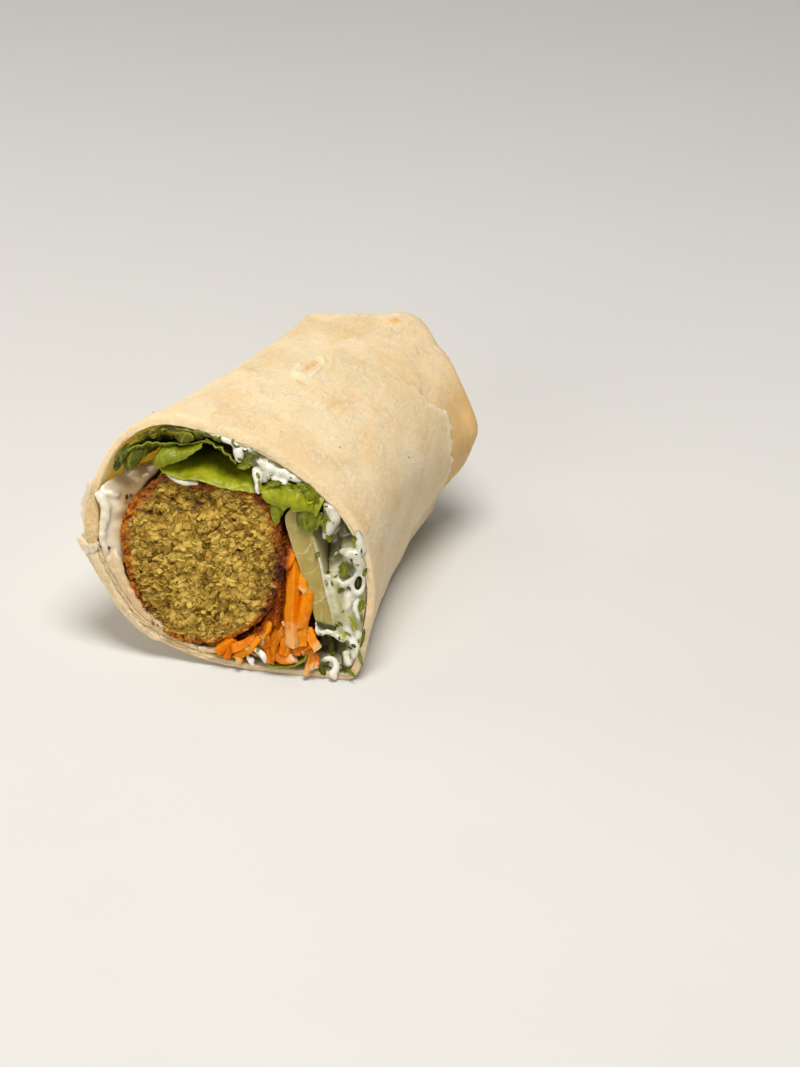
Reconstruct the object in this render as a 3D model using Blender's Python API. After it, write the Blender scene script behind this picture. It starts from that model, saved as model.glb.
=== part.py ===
"""Half of a rolled falafel wrap, cut on the slant. It lies with its cut face towards -Y and its tucked,
closed end towards +Y. Z is up and the table is at z = 0."""

import math

import bmesh
import bpy
from mathutils import Matrix, Vector

# Driving dimensions, in millimetres unless a name says otherwise.
MM = 0.001

CUT_AT = (17.5, -50.0)  # x and y of the point where the cut plane meets the table
CUT_TURN_DEG = 12.8  # how far the cut is turned from square across the wrap
CUT_LEAN_DEG = 17.0  # how far the cut leans back from upright

# Outlines of the rolled tortilla, (x, z), anticlockwise from the middle of the base as seen from the cut.
# Point number n of each outline lies on the same line along the wrap.
CUT_OUTLINE = [
    (11.5, 0), (25.5, 0), (33.8, 1), (36.1, 12), (35.9, 23), (31, 35.5), (21.5, 45), (7.5, 53.2),
    (-7.5, 57.6), (-20.5, 58.7), (-30, 53.3), (-35.1, 43), (-36.7, 30), (-31, 19), (-20.5, 8), (-4.5, 1.7),
]
WAIST_OUTLINE = [
    (9.5, 0), (19.5, 0), (25, 2.5), (27.3, 12), (28.8, 24), (28.2, 36), (22.3, 45), (8.5, 53),
    (-5, 55.7), (-17, 54.7), (-24.6, 48.8), (-28.5, 40), (-29, 28), (-25, 17), (-16, 6), (-4.5, 0.3),
]
END_OUTLINE = [
    (5.5, 0), (13.5, 0), (20.5, 3), (25.5, 13), (32.8, 26), (28.4, 38), (19.6, 45.3), (7.4, 51.6),
    (-4, 51.6), (-17, 50.3), (-20.8, 44.5), (-22.5, 35), (-21.5, 25), (-17.5, 14), (-11.5, 4), (-4.5, 0.2),
]
END_AT = [38.5, 38.5, 38.5, 39, 41, 44.5, 49.5, 55.7, 51, 48, 45.5, 42.5, 40.5, 39.5, 38.5, 38.5]  # y of each
SETTLED = 0.35  # dough this near the table lies flat on it

FOLD_RADIUS = 6.0  # of the turned-in rim of the closed end
END_MIDDLE = (4.5, 41.5, 26.0)  # where the tucked folds meet
END_REACH = 26.0  # mean distance from there to the rim

WALL = 1.9  # one layer of tortilla
SEAM_WALL = 2.2  # added where the roll overlaps itself
SEAM_SPAN = 12.5  # place of the overlap, counted in outline points
SEAM_WIDTH = 1.3
LIP_AT = 12.3  # the outer layer stops here: it stands out below, and the skin steps in above it
LIP_WIDTH = 0.06  # the step happens over this share of a span
LIP_STEP = 1.0
LIP_FADE = 1.6
END_WALL = 14.0  # tucked layers of tortilla at the closed end
TUCKED_SHARES = (0.72, 0.42, 0.12)  # sizes of the rings that close the far end
CLOSING_SHARES = (0.5, 0.1)  # and of those that close the hollow
FILLING_LENGTH = 80.0  # nominal, turns millimetres into shares of the hollow's length
FILLING_REACH = 0.97  # the fillings' share of it

FALAFEL_MIDDLE = (-6.2, 25.4)
FALAFEL_RADIUS = 19.7
FALAFEL_RUN = 0.62  # share of the wrap's length taken by the half ball and the whole one behind it
FALAFEL_PROUD = 0.004  # share of the length that its crumb stands out of the cut
FALAFEL_BALLS = 1.5
FALAFEL_NECK = 0.5  # how narrow it gets between the balls, as a share of its radius
FALAFEL_NECK_SHAPE = 0.7
FALAFEL_BACK_AT = 0.67  # share of the run where the far half of the second ball begins
FALAFEL_BACK_SHAPE = 0.55
FALAFEL_BACK_TIP = 0.02  # keeps the last ring open
FALAFEL_LUMPS = 0.012

# Centre lines of the lettuce on the cut face, (x, z), each bundle's thickness, and how far it stands proud.
LETTUCE = {
    "lettuce_back": (
        [(-28.2, 45.6), (-25.6, 50.3), (-20.6, 53.6), (-13.5, 54.0), (-7, 52.7), (-3.6, 50.6)], 2.6, 1.0,
    ),
    "lettuce_front": ([(-18.8, 48.6), (-14.5, 47.2), (-8, 46.4), (-1.5, 45.6), (4.6, 43.9)], 1.9, 1.5),
    "lettuce_side": ([(7.2, 42.6), (10.4, 43.6), (14.6, 43.2), (18.8, 41.2)], 2.9, 1.5),
}
LEAF_TIP = 0.55  # a bundle's thickness at its two ends, as a share

CUCUMBER_TOP = (15.0, 38.3)
CUCUMBER_BOTTOM = (26.7, 12.3)
CUCUMBER_THICKNESS = 5.0
CUCUMBER_PROUD = 0.8

CARROT_HEAP = [
    (13.8, 33), (14.9, 29.5), (17.0, 24), (18.9, 19), (21.7, 12.4), (23.5, 8.3), (22.6, 5.6), (15, 5.8),
    (7.5, 5.3), (2.2, 4.0), (1.6, 5.1), (5.8, 8), (10.2, 12), (13.2, 17.2), (14.2, 23), (13.8, 28.5),
]
CARROT_PROUD = 0.5
CARROT_WOBBLE = 0.25  # how far the heap's sides wander

# Outlines of the sauces on the cut face, (x, z), up to the level shown.
SMEAR = [
    (-29.6, 26.4), (-31, 33), (-31.2, 38), (-28.3, 41.6), (-24.2, 44.4), (-23.2, 43), (-25.4, 39),
    (-27.3, 33.5), (-27.5, 28), (-26.6, 24), (-28, 23),
]
LANE = [
    (22.3, 40.3), (26.8, 35.4), (31.2, 28.4), (33, 20), (33, 10), (31.6, 4), (27, 2.9), (18, 2.7), (8.6, 2.9),
    (8.8, 4.2), (16, 4.6), (23.2, 4.5), (25.6, 8.4), (30.2, 10.6), (30.2, 15), (27.3, 22), (24.2, 29.4),
    (21, 36), (20.4, 38.6),
]
CROWN = [
    (-1.6, 52.4), (4.6, 50.6), (10.4, 48.4), (15.4, 45.6), (13.4, 45.9), (7.4, 46.2), (2.6, 47.4),
    (-0.4, 49.6),
]

# Colour and roughness of each kind of piece.
DOUGH = (0.86, 0.70, 0.47), 0.6
CRUMB = (0.36, 0.25, 0.09), 0.85
LEAF = (0.16, 0.27, 0.03), 0.4
CUCUMBER = (0.62, 0.64, 0.28), 0.3
CARROT = (0.85, 0.27, 0.02), 0.5
SAUCE = (0.85, 0.83, 0.77), 0.35

# Fineness of the surfaces.
AROUND = 4  # points to each span of a tortilla outline
BODY_STEPS = 13
FOLD_STEPS = 4
HOLLOW_STEPS = 9
FALAFEL_SIDES = 28
FALAFEL_STEPS = 18
SHARP_DEG = 40


def smooth_loop(points, per_span, extra=()):
    """Closed Catmull-Rom curve through the points, as (place, point) pairs; extra adds single places."""
    count = len(points)
    places = sorted([k / per_span for k in range(count * per_span)] + list(extra))
    loop = []
    for place in places:
        span, t = int(place), place - int(place)
        a, b, c, d = (Vector(points[(span + k - 1) % count]) for k in range(4))
        bend, twist = 2 * a - 5 * b + 4 * c - d, 3 * b - a - 3 * c + d
        loop.append((place, 0.5 * (2 * b + (c - a) * t + bend * t**2 + twist * t**3)))
    return loop


def cut_y(x, z):
    """The y of the cut plane over the point (x, z)."""
    turn, lean = math.radians(CUT_TURN_DEG), math.radians(CUT_LEAN_DEG)
    return CUT_AT[1] + (x - CUT_AT[0]) * math.tan(turn) + z * math.tan(lean) / math.cos(turn)


def inset(outline):
    """The outline moved in by the thickness of the tortilla."""
    count, moved = len(outline), []
    for n, (x, z) in enumerate(outline):
        before, after = outline[n - 1], outline[(n + 1) % count]
        along = Vector((after[0] - before[0], after[1] - before[1])).normalized()
        wall = WALL + SEAM_WALL * math.exp(-(((n - SEAM_SPAN) / SEAM_WIDTH) ** 2))
        moved.append((x - along.y * wall, z + along.x * wall))
    return moved


def stations(outlines, end_y):
    """The three places of each line along the wrap: on the cut, at the waist and at the end."""
    lines = []
    for n, (at_cut, at_waist, at_end) in enumerate(zip(*outlines)):
        first = Vector((at_cut[0], cut_y(*at_cut), at_cut[1]))
        last = Vector((at_end[0], end_y[n], at_end[1]))
        middle = Vector((at_waist[0], (first.y + last.y) / 2, at_waist[1]))
        lines.append((first, middle, last))
    return lines


def along(lines, u):
    """Each line's point at the share u of the way from the cut to the end, on a parabola."""
    return [a * (1 - u) * (1 - 2 * u) + b * 4 * u * (1 - u) + c * u * (2 * u - 1) for a, b, c in lines]


LIP_PLACES = (LIP_AT, LIP_AT + LIP_WIDTH)
OUTLINES = (CUT_OUTLINE, WAIST_OUTLINE, END_OUTLINE)
SKIN = stations(OUTLINES, [y - FOLD_RADIUS for y in END_AT])
HOLLOW_OUTLINES = [inset(outline) for outline in OUTLINES]
HOLLOW = stations(HOLLOW_OUTLINES, [y - END_WALL for y in END_AT])


def pulls(x, z):
    """Mean value coordinates of a point of the cut face in the hollow's outline there."""
    spokes = [Vector((px - x, pz - z)) for px, pz in HOLLOW_OUTLINES[0]]
    halves = []
    for n, spoke in enumerate(spokes):
        following = spokes[(n + 1) % len(spokes)]
        turn = math.atan2(spoke.x * following.y - spoke.y * following.x, spoke.dot(following))
        halves.append(math.tan(turn / 2))
    weights = [(halves[n - 1] + halves[n]) / spoke.length for n, spoke in enumerate(spokes)]
    return [weight / sum(weights) for weight in weights]


def carried(x, z, u):
    """Where the point (x, z) of the cut face goes at the share u of the hollow's length."""
    return sum((w * p for w, p in zip(pulls(x, z), along(HOLLOW, u))), Vector((0, 0, 0)))


def loft(name, rings, finish):
    """A closed body through rings of equal point counts, capped at both ends, with a material of its own."""
    colour, roughness = finish
    shape = bmesh.new()
    rows = [[shape.verts.new(point * MM) for point in ring] for ring in rings]
    for near, far in zip(rows, rows[1:]):
        for n in range(len(near)):
            m = (n + 1) % len(near)
            shape.faces.new((near[n], near[m], far[m], far[n]))
    shape.faces.new(list(reversed(rows[0])))
    shape.faces.new(rows[-1])
    bmesh.ops.recalc_face_normals(shape, faces=shape.faces)
    mesh = bpy.data.meshes.new(name)
    shape.to_mesh(mesh)
    shape.free()
    mesh.shade_smooth()
    mesh.set_sharp_from_angle(angle=math.radians(SHARP_DEG))
    piece = bpy.data.objects.new(name, mesh)
    wrap.objects.link(piece)
    material = bpy.data.materials.new(name)
    material.use_nodes = True
    shader = material.node_tree.nodes["Principled BSDF"]
    shader.inputs["Base Color"].default_value = (*colour, 1)
    shader.inputs["Roughness"].default_value = roughness
    shader.inputs["Metallic"].default_value = 0.0
    mesh.materials.append(material)
    return piece


def flattened(point):
    """The point, laid on the table if it is all but touching it."""
    return Vector((point.x, point.y, 0 if point.z < SETTLED else point.z))


def skin_ring(points):
    """A ring of the outer skin, with the step of the seam's lip."""
    ring = []
    loop = smooth_loop(points, AROUND, LIP_PLACES)
    middle = sum((p for _, p in loop), Vector((0, 0, 0))) / len(loop)
    for place, point in loop:
        if abs(place - LIP_AT) < LIP_FADE:
            inward = Vector((middle.x - point.x, 0, middle.z - point.z)).normalized()
            share = 1 - abs(place - LIP_AT) / LIP_FADE
            point = point + inward * math.copysign(LIP_STEP * share**2, LIP_AT + LIP_WIDTH / 2 - place)
        ring.append(flattened(point))
    return ring


def toward(ring, middle, share):
    """The ring drawn in to a share of its size about the middle."""
    return [middle + (point - middle) * share for point in ring]


def build_tortilla():
    """One skin that runs from the end's middle over the outside to the cut and back in along the hollow."""
    middle = Vector(END_MIDDLE)
    body = [skin_ring(along(SKIN, k / BODY_STEPS)) for k in range(BODY_STEPS + 1)]
    rim = body[-1]
    turned = []
    for k in range(1, FOLD_STEPS + 1):
        turn = math.radians(90) * k / FOLD_STEPS
        drawn = toward(rim, middle, 1 - FOLD_RADIUS * (1 - math.cos(turn)) / END_REACH)
        turned.append([
            flattened(Vector((p.x, r.y + FOLD_RADIUS * math.sin(turn), p.z))) for p, r in zip(drawn, rim)
        ])
    tucked = [toward(turned[-1], middle, share) for share in TUCKED_SHARES]
    lines = [along(HOLLOW, k / HOLLOW_STEPS) for k in range(HOLLOW_STEPS + 1)]
    hollow = [[point for _, point in smooth_loop(line, AROUND, LIP_PLACES)] for line in lines]
    hollow_middle = sum(hollow[-1], Vector((0, 0, 0))) / len(hollow[-1])
    closing = [toward(hollow[-1], hollow_middle, share) for share in CLOSING_SHARES]
    outside = body + turned + tucked
    loft("tortilla", outside[::-1] + hollow + closing, DOUGH)


def run_through(name, outline, finish, proud=0.0, steps=9, per_span=2, wobble=0.0):
    """A filling with the outline (x, z) on the cut face, carried through the wrap.
    proud is how far it stands out of the cut, and wobble how far its sides wander, in millimetres."""
    loop = [point for _, point in smooth_loop(outline, per_span)]
    middle = sum(loop, Vector((0, 0))) / len(loop)
    ahead = proud / FILLING_LENGTH
    rings = []
    for k in range(steps + 1):
        u = -ahead + (FILLING_REACH + ahead) * k / steps
        ring = []
        for n, (x, z) in enumerate(loop):
            away = (Vector((x, z)) - middle).normalized()
            wander = -wobble * (0.5 + 0.5 * math.sin(2.4 * k + 1.9 * n))
            ring.append(carried(x + away.x * wander, z + away.y * wander, u))
        rings.append(ring)
    return loft(name, rings, finish)


def ribbon(centres, thickness):
    """The outline round a strip of the given thickness that follows the centres."""
    upper, lower = [], []
    for n, centre in enumerate(centres):
        before, after = centres[max(n - 1, 0)], centres[min(n + 1, len(centres) - 1)]
        run = Vector((after[0] - before[0], after[1] - before[1])).normalized()
        half = thickness / 2 * (LEAF_TIP if n in (0, len(centres) - 1) else 1)
        upper.append((centre[0] - run.y * half, centre[1] + run.x * half))
        lower.append((centre[0] + run.y * half, centre[1] - run.x * half))
    return lower + upper[::-1]


def build_falafel():
    """A ball cut through its middle, with the next ball pressed against it inside the wrap."""
    rings = []
    for k in range(FALAFEL_STEPS + 1):
        share = k / FALAFEL_STEPS
        # 1 at the cut, 0 between the balls, 1 at the middle of the second, then 0 at the back
        fullness = abs(math.cos(share * FALAFEL_BALLS * math.pi))
        if share < FALAFEL_BACK_AT:
            radius = FALAFEL_RADIUS * (FALAFEL_NECK + (1 - FALAFEL_NECK) * fullness**FALAFEL_NECK_SHAPE)
        else:
            radius = FALAFEL_RADIUS * max(fullness, FALAFEL_BACK_TIP) ** FALAFEL_BACK_SHAPE
        ring = []
        for n in range(FALAFEL_SIDES):
            turn = 2 * math.pi * n / FALAFEL_SIDES
            lump = 1 - FALAFEL_LUMPS * (1 + math.sin(3 * turn + 5 * share) * math.cos(2 * turn - 3 * share))
            x = FALAFEL_MIDDLE[0] + radius * lump * math.cos(turn)
            z = FALAFEL_MIDDLE[1] + radius * lump * math.sin(turn)
            ring.append(carried(x, z, -FALAFEL_PROUD + FALAFEL_RUN * share))
        rings.append(ring)
    loft("falafel", rings, CRUMB)


def build_lettuce():
    for name, (centres, thickness, proud) in LETTUCE.items():
        run_through(name, ribbon(centres, thickness), LEAF, proud=proud)


def build_cucumber():
    """A plank sliced lengthwise, with skin on its two narrow sides."""
    top, bottom = Vector(CUCUMBER_TOP), Vector(CUCUMBER_BOTTOM)
    side = (bottom - top).normalized().orthogonal() * CUCUMBER_THICKNESS / 2
    middle = top.lerp(bottom, 0.5)
    plank = [top + side, top - side, middle - side, bottom - side, bottom + side, middle + side]
    run_through("cucumber", [tuple(p) for p in plank], CUCUMBER, proud=CUCUMBER_PROUD, steps=6, per_span=4)


def build_carrot():
    """The heap of shreds, out to its uneven outline."""
    run_through("carrot_shreds", CARROT_HEAP, CARROT, proud=CARROT_PROUD, steps=10, wobble=CARROT_WOBBLE)


def build_sauces():
    run_through("yogurt_sauce", SMEAR, SAUCE)
    run_through("herb_sauce", LANE, SAUCE, steps=8)
    run_through("herb_sauce_top", CROWN, SAUCE)


for old in list(bpy.data.objects):
    bpy.data.objects.remove(old)
wrap = bpy.data.collections.new("falafel_wrap")
bpy.context.scene.collection.children.link(wrap)

build_tortilla()
build_falafel()
build_lettuce()
build_cucumber()
build_carrot()
build_sauces()
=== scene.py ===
import math
import random

import bmesh
import bpy
import numpy as np
from mathutils import Matrix, Vector, noise


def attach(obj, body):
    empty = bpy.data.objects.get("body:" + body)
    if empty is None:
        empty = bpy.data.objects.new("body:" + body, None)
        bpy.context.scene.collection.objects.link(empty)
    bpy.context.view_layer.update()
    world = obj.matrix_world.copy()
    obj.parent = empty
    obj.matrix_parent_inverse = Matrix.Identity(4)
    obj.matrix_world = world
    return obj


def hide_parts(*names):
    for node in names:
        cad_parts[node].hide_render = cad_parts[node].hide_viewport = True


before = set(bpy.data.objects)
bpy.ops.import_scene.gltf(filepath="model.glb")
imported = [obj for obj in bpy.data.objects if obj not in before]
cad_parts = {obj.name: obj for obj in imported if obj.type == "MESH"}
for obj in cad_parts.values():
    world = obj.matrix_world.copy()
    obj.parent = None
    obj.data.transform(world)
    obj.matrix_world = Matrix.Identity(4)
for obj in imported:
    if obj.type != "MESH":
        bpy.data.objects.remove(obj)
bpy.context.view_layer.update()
mm = 0.001
bpy.context.scene.view_settings.view_transform = "Standard"


# the roll's shape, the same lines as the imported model's
roll = {
    "cutAt": (17.5, -50.0),
    "cutTurn": 12.8,
    "cutLean": 17.0,
    "cutOutline": [
        (11.5, 0), (25.5, 0), (33.8, 1), (36.1, 12), (35.9, 23), (31, 35.5), (21.5, 45), (7.5, 53.2),
        (-7.5, 57.6), (-20.5, 58.7), (-30, 53.3), (-35.1, 43), (-36.7, 30), (-31, 19), (-20.5, 8),
        (-4.5, 1.7),
    ],
    "waistOutline": [
        (9.5, 0), (19.5, 0), (25, 2.5), (27.3, 12), (28.8, 24), (28.2, 36), (22.3, 45), (8.5, 53), (-5, 55.7),
        (-17, 54.7), (-24.6, 48.8), (-28.5, 40), (-29, 28), (-25, 17), (-16, 6), (-4.5, 0.3),
    ],
    "endOutline": [
        (5.5, 0), (13.5, 0), (20.5, 3), (25.5, 13), (32.8, 26), (28.4, 38), (19.6, 45.3), (7.4, 51.6),
        (-4, 51.6), (-17, 50.3), (-20.8, 44.5), (-22.5, 35), (-21.5, 25), (-17.5, 14), (-11.5, 4),
        (-4.5, 0.2),
    ],
    "endAt": [38.5, 38.5, 38.5, 39, 41, 44.5, 49.5, 55.7, 51, 48, 45.5, 42.5, 40.5, 39.5, 38.5, 38.5],
    "around": 16,  # points in each outline
    "foldRadius": 6.0,
    "endMiddle": (4.5, 41.5, 26.0),
    "endReach": 26.0,
    "wall": 1.9,
    "seamWall": 2.2,
    "seamSpan": 12.5,
    "seamWidth": 1.3,
    "endWall": 14.0,
    "hollowRun": 80.0,
    "skinRun": 95.0,
}
turnSlope = math.tan(math.radians(roll["cutTurn"]))
leanSlope = math.tan(math.radians(roll["cutLean"])) / math.cos(math.radians(roll["cutTurn"]))
cutNormal = Vector((turnSlope, -1, leanSlope)).normalized()


def cutY(x, z):
    return roll["cutAt"][1] + (x - roll["cutAt"][0]) * turnSlope + z * leanSlope


def bell(value, middle, width):
    return np.exp(-(((value - middle) / width) ** 2))


def stacked(*parts):
    return np.stack(np.broadcast_arrays(*parts), -1)


def unit(vectors):
    return vectors / (np.linalg.norm(vectors, axis=-1, keepdims=True) + 1e-9)


def insetOutline(outline):
    points = np.array(outline, float)
    around = np.roll(points, -1, 0) - np.roll(points, 1, 0)
    around /= np.linalg.norm(around, axis=1)[:, None]
    wall = roll["wall"] + roll["seamWall"] * bell(np.arange(len(points)), roll["seamSpan"], roll["seamWidth"])
    return points + stacked(-around[:, 1], around[:, 0]) * wall[:, None]


def lengthLines(outlines, endY):
    atCut, atWaist, atEnd = (np.array(outline, float) for outline in outlines)
    first = stacked(atCut[:, 0], cutY(*atCut.T), atCut[:, 1])
    last = stacked(atEnd[:, 0], np.array(endY), atEnd[:, 1])
    return first, stacked(atWaist[:, 0], (first[:, 1] + last[:, 1]) / 2, atWaist[:, 1]), last


outlines = [roll[key] for key in ("cutOutline", "waistOutline", "endOutline")]
skinLines = lengthLines(outlines, [y - roll["foldRadius"] for y in roll["endAt"]])
insets = [insetOutline(outline) for outline in outlines]
hollowLines = lengthLines(insets, [y - roll["endWall"] for y in roll["endAt"]])


def stationWeights(share):
    # how much the first, the middle and the last place count on a parabola through all three
    return (1 - share) * (1 - 2 * share), 4 * share * (1 - share), share * (2 * share - 1)


def curveWeights(t):
    # how much the four places round a span count on a smooth curve through all of them
    second, third = t**2, t**3
    before, after = second - 0.5 * (t + third), 0.5 * (third - second)
    return before, 1 - 2.5 * second + 1.5 * third, 0.5 * t + 2 * second - 1.5 * third, after


def skinPoint(place, share):
    # place counts the outline's points, and share goes from the cut (0) to the closed end (1)
    span = np.floor(place).astype(int)
    point = 0
    for k, corner in enumerate(curveWeights(place - span)):
        for line, station in zip(skinLines, stationWeights(share)):
            point = point + (corner * station)[..., None] * line[(span + k - 1) % roll["around"]]
    return point


def insideWrap(x, z, depth):
    # where the point (x, z) of the cut face goes, this deep along the hollow
    place = stacked(x, z, depth).astype(float)
    flat = place.reshape(-1, 3)
    spokes = hollowLines[0][None, :, [0, 2]] - flat[:, None, :2]
    following = np.roll(spokes, -1, 1)
    cross = spokes[..., 0] * following[..., 1] - spokes[..., 1] * following[..., 0]
    halves = np.tan(np.arctan2(cross, (spokes * following).sum(2)) / 2)
    pulls = (np.roll(halves, 1, 1) + halves) / np.linalg.norm(spokes, axis=2)
    pulls /= pulls.sum(1)[:, None]
    stations = stationWeights(flat[:, 2:] / roll["hollowRun"])
    return sum(station * (pulls @ line) for station, line in zip(stations, hollowLines)).reshape(place.shape)


def curveThrough(points, samples, closed=False):
    # a smooth curve through the points, evenly sampled by place
    points = np.array(points, float)
    count = len(points)
    spans = count if closed else count - 1
    place = np.linspace(0, spans, samples, endpoint=not closed)
    span = np.minimum(np.floor(place).astype(int), spans - 1)
    index = span[:, None] + np.arange(-1, 3)
    index = index % count if closed else np.clip(index, 0, count - 1)
    a, b, c, d = (points[index[:, k]] for k in range(4))
    t = (place - span)[:, None]
    return 0.5 * (2 * b + (c - a) * t + (2 * a - 5 * b + 4 * c - d) * t**2 + (3 * b - a - 3 * c + d) * t**3)


def outlineRadius(outline, middle, angles):
    # the outline's distance from the middle in each direction
    loop = curveThrough(outline, 720, closed=True) - middle
    turns = np.arctan2(loop[:, 1], loop[:, 0])
    order = np.argsort(turns)
    return np.interp(angles, turns[order], np.hypot(loop[:, 0], loop[:, 1])[order], period=2 * math.pi)


def smoothStep(value, low, high):
    share = np.clip((value - low) / (high - low), 0, 1)
    return share * share * (3 - 2 * share)


def rawNoise(places):
    values = [noise.noise(Vector(place)) for place in places.reshape(-1, 3)]
    return np.array(values).reshape(places.shape[:-1])


def shiftedBy(points, size, seed):
    return np.asarray(points, float) / size + (seed * 7.31, seed * 3.77, seed * 5.19)


def softNoise(points, size, seed=0.0):
    # smooth noise from -1 to 1 with features about this big
    return rawNoise(shiftedBy(points, size, seed))


def cellNoise(points, size, seed=0.0):
    # for each point's cell: how near its edge is, a number from 0 to 1, and the way from its centre
    places = shiftedBy(points, size, seed)
    gap, tag, centre = [], [], []
    for place in places.reshape(-1, 3):
        distances, found = noise.voronoi(Vector(place))
        gap.append(distances[1] - distances[0])
        tag.append(math.modf(abs(math.sin(found[0].dot(Vector((12.9898, 78.233, 37.719)))) * 43758.5453))[0])
        centre.append(place - found[0])
    shape = places.shape[:-1]
    return np.array(gap).reshape(shape), np.array(tag).reshape(shape), np.array(centre).reshape(places.shape)


def gridFaces(rows, columns, closed=False):
    wide = columns if closed else columns - 1
    row, column = np.meshgrid(np.arange(rows - 1) * columns, np.arange(wide), indexing="ij")
    following = (column + 1) % columns
    corners = [row + column, row + following, row + columns + following, row + columns + column]
    return np.stack(corners, -1).reshape(-1, 4).tolist()


def tubeFaces(rows, columns, turned=False):
    # rings of points with both ends closed; turned faces look the other way
    faces = gridFaces(rows, columns, closed=True)
    faces += [list(range(columns))[::-1], list(range((rows - 1) * columns, rows * columns))]
    return [face[::-1] for face in faces] if turned else faces


def makePiece(name, node, parts, finish, smooth=True, thickness=0.0):
    # one piece that stands for the node
    # each part is points in millimetres, faces, and painted numbers by name
    points, faces, painted, start = [], [], {}, 0
    for own, ownFaces, numbers in parts:
        own = np.asarray(own, float).reshape(-1, 3)
        points.append(own * mm)
        faces += [[corner + start for corner in face] for face in ownFaces]
        for key, value in numbers.items():
            painted.setdefault(key, []).append(np.broadcast_to(np.ravel(value), (len(own),)))
        start += len(own)
    mesh = bpy.data.meshes.new(name)
    mesh.from_pydata(np.concatenate(points).tolist(), [], faces)
    for key, values in painted.items():
        attribute = mesh.attributes.new(key, "FLOAT", "POINT")
        attribute.data.foreach_set("value", np.concatenate(values).astype(np.float32))
    mesh.materials.append(finish)
    if smooth:
        mesh.shade_smooth()
    piece = bpy.data.objects.new(name, mesh)
    bpy.context.scene.collection.objects.link(piece)
    if thickness:
        layer = piece.modifiers.new("thickness", "SOLIDIFY")
        layer.thickness = thickness * mm
        layer.offset = 0
    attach(piece, "root")
    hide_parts(node)
    return piece


def sweep(path, section, widths, twist, facing, slants):
    # a closed body along the path: widths scales the section at each point, and slants cut the two ends askew
    last = len(path) - 1
    runs = unit(np.gradient(path, axis=0))
    side = np.cross(runs[0], facing)
    rings = []
    for k, (place, run) in enumerate(zip(path, runs)):
        side = side - run * side.dot(run)
        side /= np.linalg.norm(side)
        other = np.cross(run, side)
        turn = twist * k / last
        a = math.cos(turn) * side + math.sin(turn) * other
        b = -math.sin(turn) * side + math.cos(turn) * other
        skew = slants[0] * smoothStep(k / last, 0.3, 0.0) + slants[1] * smoothStep(k / last, 0.7, 1.0)
        offset = section[:, :1] * a + section[:, 1:] * b + skew * section[:, :1] * run
        rings.append(place + widths[k] * offset)
    # each end draws in a little
    tips = []
    for end, way in ((0, -1), (last, 1)):
        centre = rings[end].mean(0)
        tips.append(centre + (rings[end] - centre) * 0.86 + way * runs[end] * 0.12 * widths.mean())
    rings = [tips[0]] + rings + [tips[1]]
    return np.concatenate(rings), tubeFaces(len(rings), len(section))


print("shape tools ready")


# shader tools
class Wire:
    # a node's socket that can be used in sums
    def __init__(self, finish, socket):
        self.finish = finish
        self.socket = socket

    def maths(self, operation, first, second):
        return self.finish.add("ShaderNodeMath", {"operation": operation}, {0: first, 1: second})

    def __add__(self, other):
        return self.maths("ADD", self, other)

    def __radd__(self, other):
        return self.maths("ADD", other, self)

    def __sub__(self, other):
        return self.maths("SUBTRACT", self, other)

    def __rsub__(self, other):
        return self.maths("SUBTRACT", other, self)

    def __mul__(self, other):
        return self.maths("MULTIPLY", self, other)


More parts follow.
